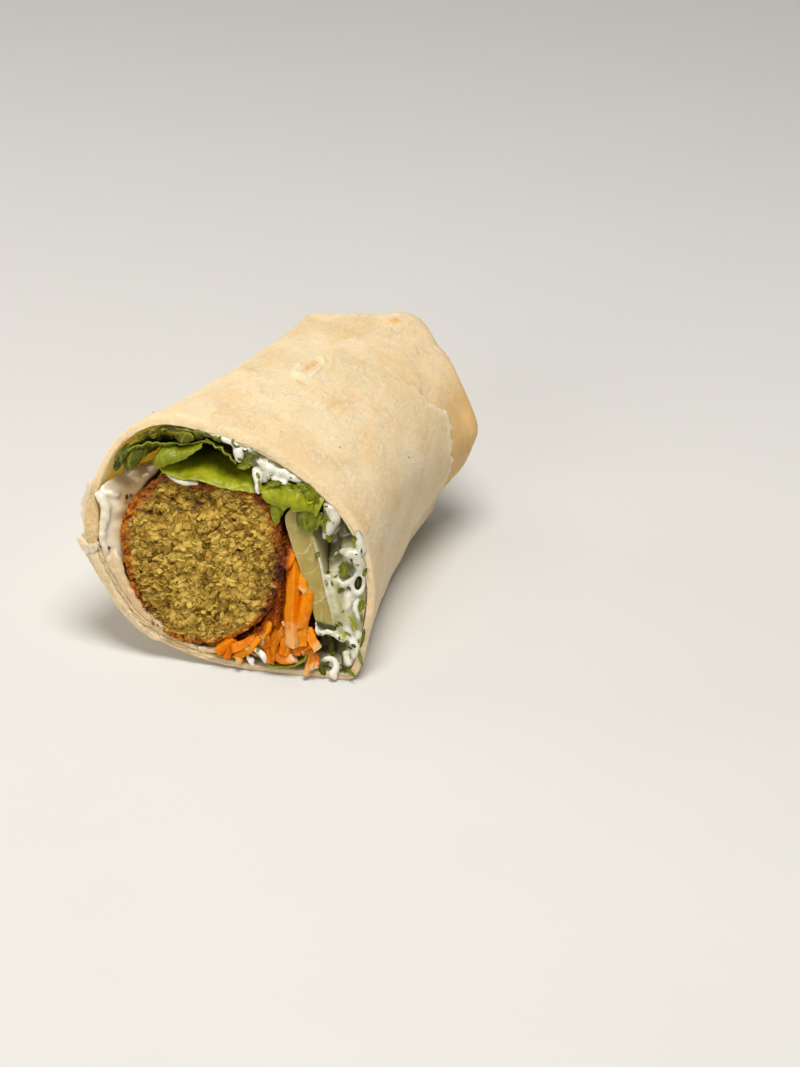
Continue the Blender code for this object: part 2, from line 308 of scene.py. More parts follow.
class Finish:
    # one material: a Principled shader with constants on its sockets, and the nodes that feed it
    def __init__(self, name, constants):
        self.material = bpy.data.materials.new(name)
        self.material.use_nodes = True
        self.tree = self.material.node_tree
        self.shader = self.tree.nodes["Principled BSDF"]
        for socketName, value in constants.items():
            self.shader.inputs[socketName].default_value = value
        self.place = self.add("ShaderNodeTexCoord", output="Object")

    def add(self, kind, settings=None, sockets=None, output=0):
        node = self.tree.nodes.new(kind)
        for key, value in (settings or {}).items():
            if key == "stops":
                self.setStops(node.color_ramp, value)
            else:
                setattr(node, key, value)
        for key, value in (sockets or {}).items():
            if isinstance(value, Wire):
                self.tree.links.new(value.socket, node.inputs[key])
            else:
                node.inputs[key].default_value = value
        return Wire(self, node.outputs[output])

    def setStops(self, ramp, stops):
        while len(ramp.elements) < len(stops):
            ramp.elements.new(0.5)
        for element, (place, colour) in zip(ramp.elements, stops):
            element.position = place
            element.color = (*colour, 1)

    def painted(self, name):
        return self.add("ShaderNodeAttribute", {"attribute_name": name}, output="Fac")

    def noise(self, size, detail=3.0, rough=0.55, stretch=(1, 1, 1), bend=0.0):
        # size in millimetres
        where = self.add("ShaderNodeMapping", {}, {"Vector": self.place, "Scale": stretch})
        look = {"Scale": 1 / (size * mm), "Detail": detail, "Roughness": rough, "Distortion": bend}
        return self.add("ShaderNodeTexNoise", {}, {"Vector": where, **look})

    def shifting(self, size, amount, detail=3.0, rough=0.55):
        # noise about zero
        return (self.noise(size, detail, rough) - 0.5) * amount

    def lines(self, value, width):
        # thin lines where noise passes its middle
        away = self.add("ShaderNodeMath", {"operation": "ABSOLUTE"}, {0: value - 0.5})
        return self.fade(away, width, 0.0)

    def fade(self, value, low, high):
        reach = {"Value": value, "From Min": low, "From Max": high}
        return self.add("ShaderNodeMapRange", {"interpolation_type": "SMOOTHSTEP"}, reach)

    def ramp(self, value, stops):
        return self.add("ShaderNodeValToRGB", {"stops": stops}, {0: value})

    def mix(self, factor, first, second):
        first, second = ((*c, 1) if isinstance(c, tuple) else c for c in (first, second))
        return self.add("ShaderNodeMix", {"data_type": "RGBA"}, {0: factor, 6: first, 7: second}, 2)

    def layered(self, colour, *layers):
        # each layer is a factor and the colour it lays over the ones before
        for factor, shade in layers:
            colour = self.mix(factor, colour, shade)
        return colour

    def finished(self, colour, roughness, relief=None, bump=0.0, strength=1.0):
        feeds = {"Base Color": colour}
        if roughness:
            feeds["Roughness"] = roughness
        if relief:
            height = {"Height": relief, "Distance": bump * mm, "Strength": strength}
            feeds["Normal"] = self.add("ShaderNodeBump", {}, height)
        for name, wire in feeds.items():
            self.tree.links.new(wire.socket, self.shader.inputs[name])
        return self.material


print("shader tools ready")


# the flatbread: one long sheet, rolled a turn and a bit
# places along the sheet are counted in outline points, and a table is a list of (place, value)
flatbread = {
    "flapFrom": 12.3,  # where the outer layer's free edge lies
    "innerEnd": 31.0,  # where the sheet ends inside
    "columns": [(12.3, 45), (14.5, 69), (19.4, 75), (22.8, 61), (24.3, 43), (26.5, 33), (28.3, 65)],
    "under": [(26.6, 0), (27.4, -0.2), (28.3, -0.75), (29, -0.95), (30, -1.2), (31, -1.35)],
    "thickness": [
        (12.3, 0.35), (12.45, 0.8), (12.7, 1.1), (13.5, 1.3), (15.6, 1.45), (17.5, 1.8), (26, 2), (27.6, 2.1),
        (28.3, 2.7), (29, 2.2), (29.8, 1.5), (30.9, 1.3), (31, 0.5),
    ],
    "pinch": [(0, 0.5), (3, 0.6), (6, 1), (8, 1.6), (11, 1.7), (12.3, 0.6), (14, 0.4), (16, 0.5)],
    "ragged": [(0, 0.7), (2, 0.5), (5, 0.25), (9, 0.2), (11.5, 0.5), (12.3, 1.2), (15, 1), (16, 0.7)],
    "raggedness": 0.35,
    "blister": (-0.9, 4.6, 55.3),
    "blisterRadius": (2.8, 6.2, 6),
    "smallBlister": (5.8, 44.0, 52.0),
    "plyEdge": [
        (3.2, 22), (4.2, 23.2), (4.7, 25.2), (5.1, 26.3), (5.6, 21.8), (6.1, 21.5), (7, 14.8), (8.1, 11.5),
        (9, 9),
    ],
    "plyHeight": [(2.6, 0), (3.4, 0.5), (4.4, 0.8), (5.4, 0.62), (6.6, 0.25), (8.4, 0.06), (9, 0)],
    "plyFade": [(2.6, 7), (3.4, 3), (4.2, 0.5), (5.4, 1), (6.6, 3), (8, 7)],
    "unevenness": 0.45,
    "pale": (0.87, 0.70, 0.44),
    "deep": (0.80, 0.59, 0.32),
    "amber": (0.74, 0.49, 0.21),
    "flour": (0.92, 0.79, 0.58),
    "toasted": (0.80, 0.45, 0.15),
    "tan": (0.72, 0.42, 0.12),
    "tanStreak": (0.83, 0.55, 0.22),
    "damp": (0.80, 0.64, 0.38),
    "vein": (0.80, 0.55, 0.25),
    "stroke": (0.96, 0.87, 0.69),
    "blistered": (0.95, 0.84, 0.62),
    "torn": (0.95, 0.84, 0.64),
    "cutCrumb": [(0.80, 0.61, 0.36), (0.88, 0.72, 0.47)],
    "seamCrumb": [(0.62, 0.41, 0.19), (0.78, 0.59, 0.35)],
    "ovalCrumb": [(0.68, 0.45, 0.19), (0.80, 0.58, 0.29)],
    "flouryCrumb": (0.79, 0.67, 0.51),
    "inside": [(1.0, 0.59, 0.27), (1.0, 0.71, 0.43)],
}


def readTable(table, places):
    return np.interp(places, *np.transpose(table))


def spot(points, middle, radii):
    # 1 in the middle of a soft round spot
    return bell(np.linalg.norm((points - middle) / radii, axis=-1), 0, 1)


def buildFlatbread(finish, inside):
    sheet = flatbread
    spans = zip(sheet["columns"], sheet["columns"][1:] + [(sheet["innerEnd"], 0)])
    columns = [np.linspace(start, stop, count, endpoint=False) for (start, count), (stop, _) in spans]
    columns = np.append(np.concatenate(columns), sheet["innerEnd"])
    # rows from the cut to the closed end, then over the fold and in to its middle
    near = np.array([0, 0.15, 0.35, 0.6, 0.9, 1.25, 1.65, 2.1, 2.7]) / roll["skinRun"]
    lengths = [(3.4 / roll["skinRun"], 0.4, 43), (0.4, 0.58, 37), (0.58, 1, 45)]
    body = [near] + [np.linspace(*length, endpoint=False) for length in lengths] + [[1]]
    body = np.concatenate(body)
    turned = np.radians(np.linspace(0, 90, 8)[1:])
    tucked = np.linspace(1, 0.02, 24)[1:]
    first = len(body)
    rows = first + len(turned) + len(tucked)
    share = np.append(body, np.ones(rows - first))[:, None]
    deep = share * roll["skinRun"]

    # the flap's free edge climbs a little behind the cut and is torn unevenly
    tear = rawNoise(stacked(deep / 2.3, 4.1, 0)) + 0.6 * rawNoise(stacked(deep / 0.8, 9.7, 0))
    climb = -0.42 * smoothStep(deep, 0.5, 7) + 0.12 * tear
    hold = 1 - smoothStep(columns - sheet["flapFrom"], 0, 1.4)
    points = skinPoint(columns + climb * hold, share)
    around = np.gradient(points, axis=1)
    outward = unit(stacked(around[..., 2], -around[..., 0]))

    # the closed end: the rim turns over the fold and runs in towards the middle in pleats
    middle = np.array(roll["endMiddle"])
    rim = points[first - 1].copy()
    for k, turn in enumerate(turned, first):
        drawn = middle + (rim - middle) * (1 - roll["foldRadius"] * (1 - math.cos(turn)) / roll["endReach"])
        fold = roll["foldRadius"] - 0.9 * smoothStep(columns, 27.6, 28.6)
        drawn[:, 1] = rim[:, 1] + fold * math.sin(turn)
        points[k] = drawn
    angle = np.arctan2(drawn[:, 2] - middle[2], drawn[:, 0] - middle[0])
    for k, left in enumerate(tucked, first + len(turned)):
        inward = 1 - left
        points[k] = middle + (drawn - middle) * left
        pleats = np.abs(np.sin(2.5 * angle + 1.1 + 1.3 * inward)) - 0.6
        points[k, :, 1] += 1.5 * pleats * math.sin(math.pi * min(inward * 1.15, 1))

    # dents and lengthwise creases
    field = points.copy()
    lift = sheet["unevenness"] * softNoise(field, 19, 1) + 0.22 * softNoise(field, 8, 2)
    stretched = field * (1, 0.35, 1) + 1.2 * softNoise(field, 6, 3)[..., None]
    crease = 1 - np.abs(softNoise(stretched, 2.6, 4)) * 5
    lift += 0.2 * np.clip(crease, 0, 1) * smoothStep(softNoise(field, 14, 5), -0.15, 0.3)
    stretched = field * (0.8, 1, 0.8) + 0.8 * softNoise(field, 3, 15)[..., None]
    wrinkle = 1 - np.abs(softNoise(stretched, 2.1, 16)) * 6
    lift += 0.15 * np.clip(wrinkle, 0, 1) * smoothStep(softNoise(field, 11, 17), -0.1, 0.3)
    lift += 0.35 * np.sin(columns * 5.3 + 2 * softNoise(field, 12, 6)) * smoothStep(share, 0.72, 1.0)
    # the blisters
    away = field - sheet["blister"]
    ring = np.linalg.norm(away / sheet["blisterRadius"], axis=-1) * (1 + 0.12 * softNoise(field, 3, 7))
    lift += 0.75 * bell(ring, 0.95, 0.16) * np.clip(0.65 + 1.1 * softNoise(field, 2.2, 18), 0.15, 1.2)
    lift += 0.25 * (1 - smoothStep(ring, 0.5, 1.3))
    lift += 0.25 * softNoise(field, 1.1, 19) * (1 - smoothStep(ring, 0.7, 0.9))
    lift += 0.35 * bell(ring, 1.6, 0.2) * smoothStep(away[..., 0], 0.5, 2.5) * smoothStep(away[..., 1], -4, 1)
    lift += 0.35 * spot(field, sheet["smallBlister"], (3.2, 4, 3.2))
    # the outer ply ends in a torn edge over the right shoulder; in front of it the bread stands higher
    turn = columns % roll["around"]
    height = readTable(sheet["plyHeight"], turn)
    edge = readTable(sheet["plyEdge"], turn) + 1.1 * softNoise(field, 3.2, 8) + 1.3 * softNoise(field, 1.4, 9)
    past = field[..., 1] - edge
    front = 1 - smoothStep(past, 0, readTable(sheet["plyFade"], turn))
    lift += height * front * smoothStep(share, 0.1, 0.35) + 0.25 * height * bell(past, -1, 1)
    lift -= 0.5 * height * (1 - front) * (1 - smoothStep(past, 6, 16))
    lift *= 0.25 + 0.75 * smoothStep(share, 0.0, 0.06)
    lift[first:] *= np.linspace(1, 0.3, rows - first)[:, None]
    lift *= smoothStep(field[..., 2], 0.0, 2.5)

    # the knife pinches the edge of the cut, less at the left and below where it stayed crisp
    pinch = readTable(sheet["pinch"], turn)
    cutDepth = points[..., 1] - cutY(points[..., 0], points[..., 2])
    close = np.clip(pinch - cutDepth, 0, None)
    pinched = pinch - np.sqrt(np.clip(pinch**2 - close**2, 0, None))
    # the flap stands off the roll, and the inner end lies under it
    flap = 0.9 * np.clip(1 - (columns - sheet["flapFrom"]) / 1.6, 0, 1) ** 2
    offset = flap + readTable(sheet["under"], columns) + lift - pinched
    offset[first:] *= np.linspace(1, 0, rows - first)[:, None]

    # the cut edge isn't straight: it is most ragged at the left and below
    ragged = readTable(sheet["ragged"], turn)
    rag = rawNoise(stacked(columns * 2.1, 1.3, 0)) + 0.7 * rawNoise(stacked(columns * 9.5, 5.3, 0))
    rag = sheet["raggedness"] * ragged * rag * np.exp(-cutDepth[:first] / 1.5)

    def shifted(base, way, move, dig):
        # moves points in the plane of the cut, keeps their depth and adds to it
        x = base[..., 0] + way[..., 0] * move
        z = np.maximum(base[..., 2] + way[..., 1] * move, 0)
        return stacked(x, cutY(x, z) + base[..., 1] - cutY(base[..., 0], base[..., 2]) + dig, z)

    outer = points.copy()
    outer[:first] = shifted(points[:first], outward[:first], offset[:first], rag)
    outer[first:, :, 0] += outward[first - 1, :, 0] * offset[first:]
    outer[first:, :, 2] = np.maximum(outer[first:, :, 2] + outward[first - 1, :, 1] * offset[first:], 0)

    # the inner side, down the hollow, and the cut face between the two
    kept = [*range(0, 60, 2), *range(60, first - 18, 5)]
    down = offset - readTable(sheet["thickness"], columns) + pinched * 0.85
    under = shifted(points[:first], outward[:first], down[:first], rag)[kept]
    under[..., 0] += outward[kept, :, 0] * 0.12 * softNoise(under, 4, 11)
    face = []
    for part in np.linspace(0, 1, 9)[1:-1]:
        between = outer[0] * (1 - part) + under[0] * part
        dig = 0.35 * softNoise(between, 0.9, 12) + 0.3 * softNoise(between, 0.35, 13)
        layer = 0.4 * bell(part, 0.5, 0.12) * smoothStep(np.sin(columns * 2.2) + 0.4, 0, 1)
        crack = 0.9 * smoothStep(softNoise(between, 0.8, 14), 0.38, 0.6) * (ragged > 0.9)
        dome = 0.25 * math.sin(math.pi * part)
        between[:, 1] += dig * (0.35 + 0.65 * np.minimum(ragged, 1)) + layer + crack - dome
        face.append(between)
    grid = np.concatenate([outer[::-1], face, under])
    total, wide = grid.shape[:2]
    inner = rows + len(face)
    faces = gridFaces(total, wide)
    # close the two free edges of the sheet, and the far end of the hollow
    for column, way in ((0, -1), (wide - 1, 1)):
        strips = [range(rows - 1, inner + 1)]
        for k, (start, stop) in enumerate(zip(kept, kept[1:]), inner):
            strips.append([*range(rows - 1 - stop, rows - start), k, k + 1])
        faces += [[row * wide + column for row in strip][::way] for strip in strips]
    faces.append([(total - 1) * wide + n for n in range(0, wide, 6)])

    # what the finish needs to know of each place
    toast = 0.75 * spot(away, (0.1, -1.6, 0), (1.3, 2.6, 5)) + 0.7 * spot(away, (0.3, 2.4, 0), (1.3, 2.6, 5))
    toast += 0.9 * spot(field, sheet["smallBlister"], (2, 2.6, 6))
    outside = {
        "toast": np.clip(toast, 0, 1),
        "behindTear": (1 - front) * smoothStep(height, 0.1, 0.45)
        * (0.25 + 0.75 * smoothStep(turn, 6.0, 4.6)),
        "damp": front * smoothStep(past, -17, -3)
        * smoothStep(turn, 3.4, 4.6) * (1 - smoothStep(turn, 7.0, 8.6)),
        "torn": bell(past, -0.5, 0.8) * smoothStep(height, 0.3, 0.6),
        "blister": bell(ring, 1.0, 0.28),
        "cutFace": 1 - smoothStep(cutDepth, 0.3, 1.6),
    }
    everywhere = {
        "oval": smoothStep(columns, 26.9, 27.3) * (1 - smoothStep(columns, 28.2, 28.6)) * 0.8,
        "floury": 0.8 * (1 - smoothStep(columns, 12.5, 13.0)),
        "seam": smoothStep(turn, 11.2, 12.2) * (1 - smoothStep(turn, 14.6, 15.4)),
    }
    painted = {key: np.broadcast_to(values, (total, wide)) for key, values in everywhere.items()}
    for key, values in outside.items():
        painted[key] = np.zeros((total, wide))
        painted[key][:rows] = values[::-1]
    painted["cutFace"][rows:inner] = 1
    piece = makePiece("flatbread", "tortilla", [(grid, faces, painted)], finish)
    piece.data.materials.append(inside)
    for polygon in piece.data.polygons[inner * (wide - 1) : (total - 1) * (wide - 1)]:
        polygon.material_index = 1
    return piece


def flatbreadFinish():
    sheet = flatbread
    finish = Finish("flatbread", {
        "Subsurface Weight": 0.35, "Subsurface Scale": 0.002, "Subsurface Radius": (1.0, 0.6, 0.35),
        "Specular IOR Level": 0.35,
    })
    clouds = finish.fade(finish.noise(15, 4, 0.55), 0.36, 0.62)
    amber = finish.fade(finish.noise(9, 4, 0.6, bend=0.6), 0.54, 0.72)
    flour = finish.fade(finish.noise(1.6, 5, 0.7, bend=0.8), 0.35, 0.72)
    strokes = finish.lines(finish.noise(2.4, 2, 0.5, (1.0, 0.6, 1.0), 1.5), 0.035)
    strokes = strokes + finish.lines(finish.noise(1.5, 2, 0.5, (1.0, 0.5, 1.0), 2.0), 0.035)
    strokes = strokes * finish.fade(finish.noise(5, 4, 0.6), 0.45, 0.6)
    veins = finish.fade(finish.noise(3.4, 4, 0.6, (1.0, 0.8, 1.0), 1.2), 0.54, 0.72)
    streaks = finish.fade(finish.noise(5, 3, 0.5, (0.7, 0.7, 0.15)), 0.3, 0.7)
    toast = finish.fade(finish.painted("toast") + finish.shifting(1.2, 0.7), 0.25, 0.95)
    crumb = finish.fade(finish.noise(0.7, 4, 0.6), 0.35, 0.65)
    cutTone = finish.layered(
        finish.mix(crumb * 0.5, *sheet["cutCrumb"]),
        (finish.painted("seam"), finish.mix(crumb, *sheet["seamCrumb"])),
        (finish.painted("oval"), finish.mix(crumb, *sheet["ovalCrumb"])),
        (finish.painted("floury"), sheet["flouryCrumb"]),
    )
    colour = finish.layered(
        finish.mix(clouds, sheet["deep"], sheet["pale"]),
        (amber * 0.8, sheet["amber"]),
        (veins * 0.35, sheet["vein"]),
        (flour * 0.35, sheet["flour"]),
        (strokes * 0.6, sheet["stroke"]),
        (finish.painted("blister") * 0.45, sheet["blistered"]),
        (finish.painted("damp") * 0.65, sheet["damp"]),
        (finish.painted("behindTear") * 0.85, finish.mix(streaks, sheet["tan"], sheet["tanStreak"])),
        (finish.painted("torn") * 0.6, sheet["torn"]),
        (toast * 0.9, sheet["toasted"]),
        (finish.painted("cutFace") * 0.9, cutTone),
    )
    rough = 0.5 - finish.painted("damp") * 0.18 + flour * 0.12 - amber * 0.1
    relief = flour * 0.45 + strokes * 0.22 + finish.noise(0.45, 3) * 0.2
    return finish.finished(colour, rough, relief, 0.26)


def flatbreadInside():
    # the inner side glows where light comes through the bread
    finish = Finish("flatbreadInside", {
        "Subsurface Weight": 1.0, "Subsurface Scale": 0.01, "Subsurface Radius": (1.0, 0.7, 0.4),
        "Specular IOR Level": 0.3,
    })
    colour = finish.mix(finish.noise(6, 3), *flatbread["inside"])
    return finish.finished(colour, 0.4 + finish.noise(2, 3) * 0.15, finish.noise(1.2, 3), 0.2, 0.6)


# scraps of the sheet at the left of the cut: (x, z) outlines, and how deep their fronts lie
scraps = {
    "foldedEdge": {
        "outline": [
            (-34.6, 38.6), (-33, 35.4), (-32.4, 31.8), (-32.3, 28.2), (-33.4, 26.8), (-34.6, 27.6),
            (-35.6, 30.8), (-36, 34.2), (-35.7, 37),
        ],
        "front": 0.1, "thick": 7.0, "dome": 0.7, "ragged": 0.12, "looks": {"oval": 0.9},
    },
    "tornEdge": {
        "outline": [
            (-36.4, 41.3), (-35.3, 40.7), (-35.5, 36.7), (-35.8, 34.2), (-35.3, 30.8), (-34.4, 27.6),
            (-35.4, 27.7), (-36.5, 31.4), (-37.3, 34.1), (-37.4, 36.5), (-36.7, 39.4),
        ],
        "front": 0.2, "thick": 5.0, "dome": 0.1, "ragged": 0.6, "looks": {"floury": 0.9},
    },
    "pointedScrap": {
        "outline": [
            (-37.3, 28), (-37.1, 28.1), (-35.6, 27.5), (-34.2, 26.7), (-32.2, 27.3), (-31.8, 27.2),
            (-31.9, 26.2), (-32.6, 24.9), (-34, 24.2), (-35.4, 25), (-36.4, 26.4), (-37.2, 27.8),
        ],
        "front": -0.4, "thick": 4.0, "dome": 0.12, "ragged": 0.16, "looks": {"floury": 0.7},
    },
    "lowerBand": {
        "outline": [
            (-34.2, 24.6), (-32.3, 24.9), (-29.8, 21.4), (-25.6, 15.4), (-21.2, 10.6), (-17.4, 7.6),
            (-14.2, 5.8), (-15, 5), (-18.6, 6.6), (-22.8, 9.6), (-27.2, 14.2), (-31.2, 20),
        ],
        "front": -0.1, "thick": 6.0, "dome": 0.45, "ragged": 0.2, "looks": {"floury": 0.25, "seam": 0.4},
        "bent": True,  # its rings shrink towards a spine and not towards the middle
    },
}


def buildScraps(finish):
    parts = []
    for number, scrap in enumerate(scraps.values()):
        loop = curveThrough(scrap["outline"], 150, closed=True)
        edge = stacked(loop[:, 0], loop[:, 1], 0)
        torn = softNoise(edge, 1.6, 50 + number) + 0.8 * softNoise(edge, 0.6, 55 + number)
        loop = loop + unit(loop - loop.mean(0)) * (scrap["ragged"] * torn)[:, None]
        spine = (loop + loop[::-1]) / 2 if "bent" in scrap else loop.mean(0)
        rings = []
        for inward in np.sin(np.linspace(0.04, 1, 12) * math.pi / 2):
            flat = spine + (loop - spine) * inward
            lumps = 0.22 * softNoise(stacked(flat[:, 0], flat[:, 1], 0), 1.7, 60 + number) * (1 - inward**4)
            deep = scrap["front"] - scrap["dome"] * math.sqrt(1 - inward**2) + lumps
            rings.append(stacked(flat[:, 0], flat[:, 1], deep))
        for deep in np.linspace(0.3, scrap["thick"], 8):
            side = loop + 0.12 * softNoise(edge + (0, 0, deep), 1.2, 65)[:, None]
            rings.append(stacked(side[:, 0] + 0.19 * deep, side[:, 1], scrap["front"] + deep))
        rings = np.array(rings)
        x, z = rings[..., 0], np.maximum(rings[..., 1], 0)
        looks = {"cutFace": 1, "floury": 0, "oval": 0, "seam": 0, **scrap["looks"]}
        parts.append((stacked(x, cutY(x, z) + rings[..., 2], z), tubeFaces(*x.shape), looks))
    return makePiece("breadScraps", "tortilla", parts, finish)


flatbreadSurface = flatbreadFinish()
sheetPiece = buildFlatbread(flatbreadSurface, flatbreadInside())
buildScraps(flatbreadSurface)
print("flatbread rolled:", len(sheetPiece.data.polygons), "faces")


# the falafel: a coarse crumb inside a fried crust
falafel = {
    "middle": (-6.6, 24.6),
    "outline": [
        (-26.5, 28.1), (-26.7, 34.4), (-24.1, 39.5), (-20.6, 43), (-17.9, 45.3), (-14.5, 44.6), (-9.5, 43.5),
        (-3, 43.9), (4.7, 42.3), (9.5, 38.1), (12.2, 32.2), (13.5, 26.3), (13, 20.1), (11.3, 15), (7.4, 10.3),
        (1.5, 6.9), (-4.4, 5.2), (-9.3, 5.4), (-14.5, 7.4), (-19.7, 12.2), (-23.7, 18.9),
    ],
    "crustWidth": 1.5,
    "backAt": 46.0,
    "ballDepth": 23.0,
    # the dent is painted darker as shade
    "hollow": (-8.2, 39.2),  # a darker dent near the top
    "grainSize": 1.9,
    "looseGrains": 2000,
    "looseSizes": [0.36, 0.45, 0.55, 0.65, 0.8, 1.05],
    "looseKinds": 24,
    "seed": 7,
    "crumbs": [(0.07, 0.036, 0.005), (0.165, 0.087, 0.006), (0.39, 0.226, 0.019), (0.70, 0.48, 0.095)],
    "crust": [(0.05, 0.008, 0.0004), (0.27, 0.062, 0.001), (0.71, 0.245, 0.009)],
    "herb": (0.22, 0.19, 0.05),
    "chickpea": (0.74, 0.46, 0.10),
    "shadow": (0.035, 0.018, 0.004),
}


def leaningCells(places, size, seed, turns):
    # broken grains that lean each its own way: how near the next one is, a number for each, and the lean
    gap, tag, centre = cellNoise(places, size, seed)
    return gap, tag, np.sin(tag * turns[0]) * centre[..., 0] + np.cos(tag * turns[1]) * centre[..., 1]


def crumbHeight(x, z):
    # how far the torn crumb stands out of the cut, and its tone, which carries painted shade
    flat = stacked(x, z, 0)
    size = falafel["grainSize"]
    gap, tag, lean = leaningCells(flat + 0.3 * softNoise(flat, 1.1, 23)[..., None], size, 24, (91, 57))
    fineGap, fineTag, fineLean = leaningCells(flat, size * 0.5, 25, (63, 41))
    deep = smoothStep(softNoise(flat, 2.3, 26), 0.46, 0.62)
    dent = bell(x, falafel["hollow"][0], 3.6) * bell(z, falafel["hollow"][1], 2.4)
    height = 0.55 * softNoise(flat, 7, 21) + 0.4 * softNoise(flat, 3.2, 22) - 0.9 * deep - 2.2 * dent
    height += 0.7 * (tag - 0.5) + 0.8 * lean - 0.5 * (1 - smoothStep(gap, 0, 0.16))
    height += 0.3 * (fineTag - 0.5) + 0.34 * fineLean - 0.14 * (1 - smoothStep(fineGap, 0, 0.16))
    # painted shade: the tone drops in the gaps between grains, in deep spots and the dent, towards the top
    # and on the right
    tone = 0.3 + 0.4 * tag + 0.35 * fineTag - 0.3 * (1 - smoothStep(gap, 0, 0.14)) - 0.4 * deep - 0.3 * dent
    tone += 0.22 * softNoise(flat, 6, 27) - 0.16 * smoothStep(z, 35, 43) - 0.5 * smoothStep(x, 9, 13)
    return height, np.clip(tone, 0, 1)


def crustAt(x, z, edge):
    # 1 in the fried crust and 0 in the crumb; the crust is thickest on the right
    flat = stacked(x, z, 0)
    thicker = 0.9 * smoothStep(x, 4.0, 11.0) + 1.6 * smoothStep(x, -16.0, -23.0)
    wavy = 1 + 0.8 * softNoise(flat, 2.4, 34) + 0.6 * softNoise(flat, 0.9, 35)
    width = falafel["crustWidth"] * wavy + thicker
    return np.maximum(1 - smoothStep(edge, width * 0.5, width * 1.15), 0.3 * np.exp(-edge / 2.4))


def buildFalafel(finish):
    middle = np.array(falafel["middle"])
    angles = np.linspace(-math.pi, math.pi, 400, endpoint=False)
    across, up = np.cos(angles), np.sin(angles)
    radius = outlineRadius(falafel["outline"], middle, angles)
    for reach, level in ((9, 3), (26, 8)):
        radius = radius + 0.3 * rawNoise(stacked(across * reach, up * reach, level))
    # the cut face
    shares = np.concatenate([np.linspace(0.01, 0.9, 64), np.linspace(0.91, 1, 14)])[:, None]
    x = middle[0] + shares * radius * across
    z = middle[1] + shares * radius * up
    edge = (1 - shares) * radius
    height, tone = crumbHeight(x, z)
    height = height * smoothStep(edge, -0.8, 1.4) - 0.45 * (1 - smoothStep(edge, 0, 0.9))
    # the crust round the ball
    deep = np.concatenate([np.linspace(0.35, 9, 30), np.linspace(10, falafel["backAt"], 16)])[:, None]
    bulge = np.abs(np.cos(np.clip(deep / falafel["ballDepth"], 0, 2) * math.pi / 2))
    reach = radius * (1 - 0.55 * (1 - bulge**0.45) * smoothStep(deep, 4, 16))
    sideX = middle[0] + reach * across
    sideZ = middle[1] + reach * up
    flat = stacked(sideX, deep, sideZ)
    gap, tag, _ = cellNoise(flat, 1.3, 31)
    cracks = 1 - smoothStep(gap, 0, 0.25)
    rough = 0.5 * (tag - 0.4) - 0.4 * cracks + 0.35 * softNoise(flat, 3, 32) + 0.3 * softNoise(flat, 0.8, 33)
    grid = np.concatenate([
        insideWrap(x, z, -height - 0.3), insideWrap(sideX + rough * across, sideZ + rough * up, deep),
    ])
    painted = {
        # painted shade in the crust's cracks
        "tone": np.concatenate([tone, 0.35 + 0.4 * (tag - 0.5) - 0.35 * cracks]),
        "crusty": np.concatenate([crustAt(x, z, edge), np.ones_like(sideX)]),
        "depth": np.concatenate([np.zeros_like(x), np.broadcast_to(deep, sideX.shape)]),
    }
    makePiece("falafelBall", "falafel", [(grid, tubeFaces(*grid.shape[:2], turned=True), painted)], finish)


def splinter(chance):
    # an angular crumb of about unit radius: the hull of a few points
    shape = bmesh.new()
    for _ in range(11):
        place = Vector([chance.gauss(0, 1) for _ in range(3)]).normalized() * chance.uniform(0.75, 1.1)
        shape.verts.new(place)
    bmesh.ops.convex_hull(shape, input=shape.verts)
    shape.verts.index_update()
    points = np.array([vert.co for vert in shape.verts])
    triangles = [[vert.index for vert in face.verts] for face in shape.faces]
    shape.free()
    return points, triangles


def buildGrains(finish):
    # angular crumbs that sit loosely on the cut
    chance = random.Random(falafel["seed"])
    middle = falafel["middle"]
    kinds = [splinter(chance) for _ in range(falafel["looseKinds"])]
    angles, shares, sizes = np.array([
        (chance.uniform(-math.pi, math.pi), math.sqrt(chance.random()), chance.choice(falafel["looseSizes"]))
        for _ in range(falafel["looseGrains"])
    ]).T
    radius = outlineRadius(falafel["outline"], np.array(middle), angles) - 0.5
    xs = middle[0] + shares * radius * np.cos(angles)
    zs = middle[1] + shares * radius * np.sin(angles)
    crusts = crustAt(xs, zs, (1 - shares) * radius + 0.5)
    parts = []
    for x, z, size, rise, base, crust in zip(xs, zs, sizes, *crumbHeight(xs, zs), crusts):
        if crust > 0.4:
            size = size * 0.75
        axis = Vector([chance.gauss(0, 1) for _ in range(3)])
        turn = np.array(Matrix.Rotation(chance.uniform(0, 6.3), 3, axis))
        stretch = np.array((chance.uniform(0.9, 1.6), chance.uniform(0.7, 1.2), chance.uniform(0.18, 0.5)))
        points, triangles = kinds[chance.randrange(len(kinds))]
        # each grain's tone takes in the painted shade of the crumb under it
        tone = 0.45 * base + 0.5 * chance.random() + 0.15
        if chance.random() < 0.03:
            tone = -0.3
        points = (points * stretch * size) @ turn.T + insideWrap(x, z, 0.15 * size - rise - 0.3)
        parts.append((points, triangles, {"tone": tone, "crusty": crust, "depth": 0}))
    makePiece("falafelGrains", "falafel", parts, finish, smooth=False)


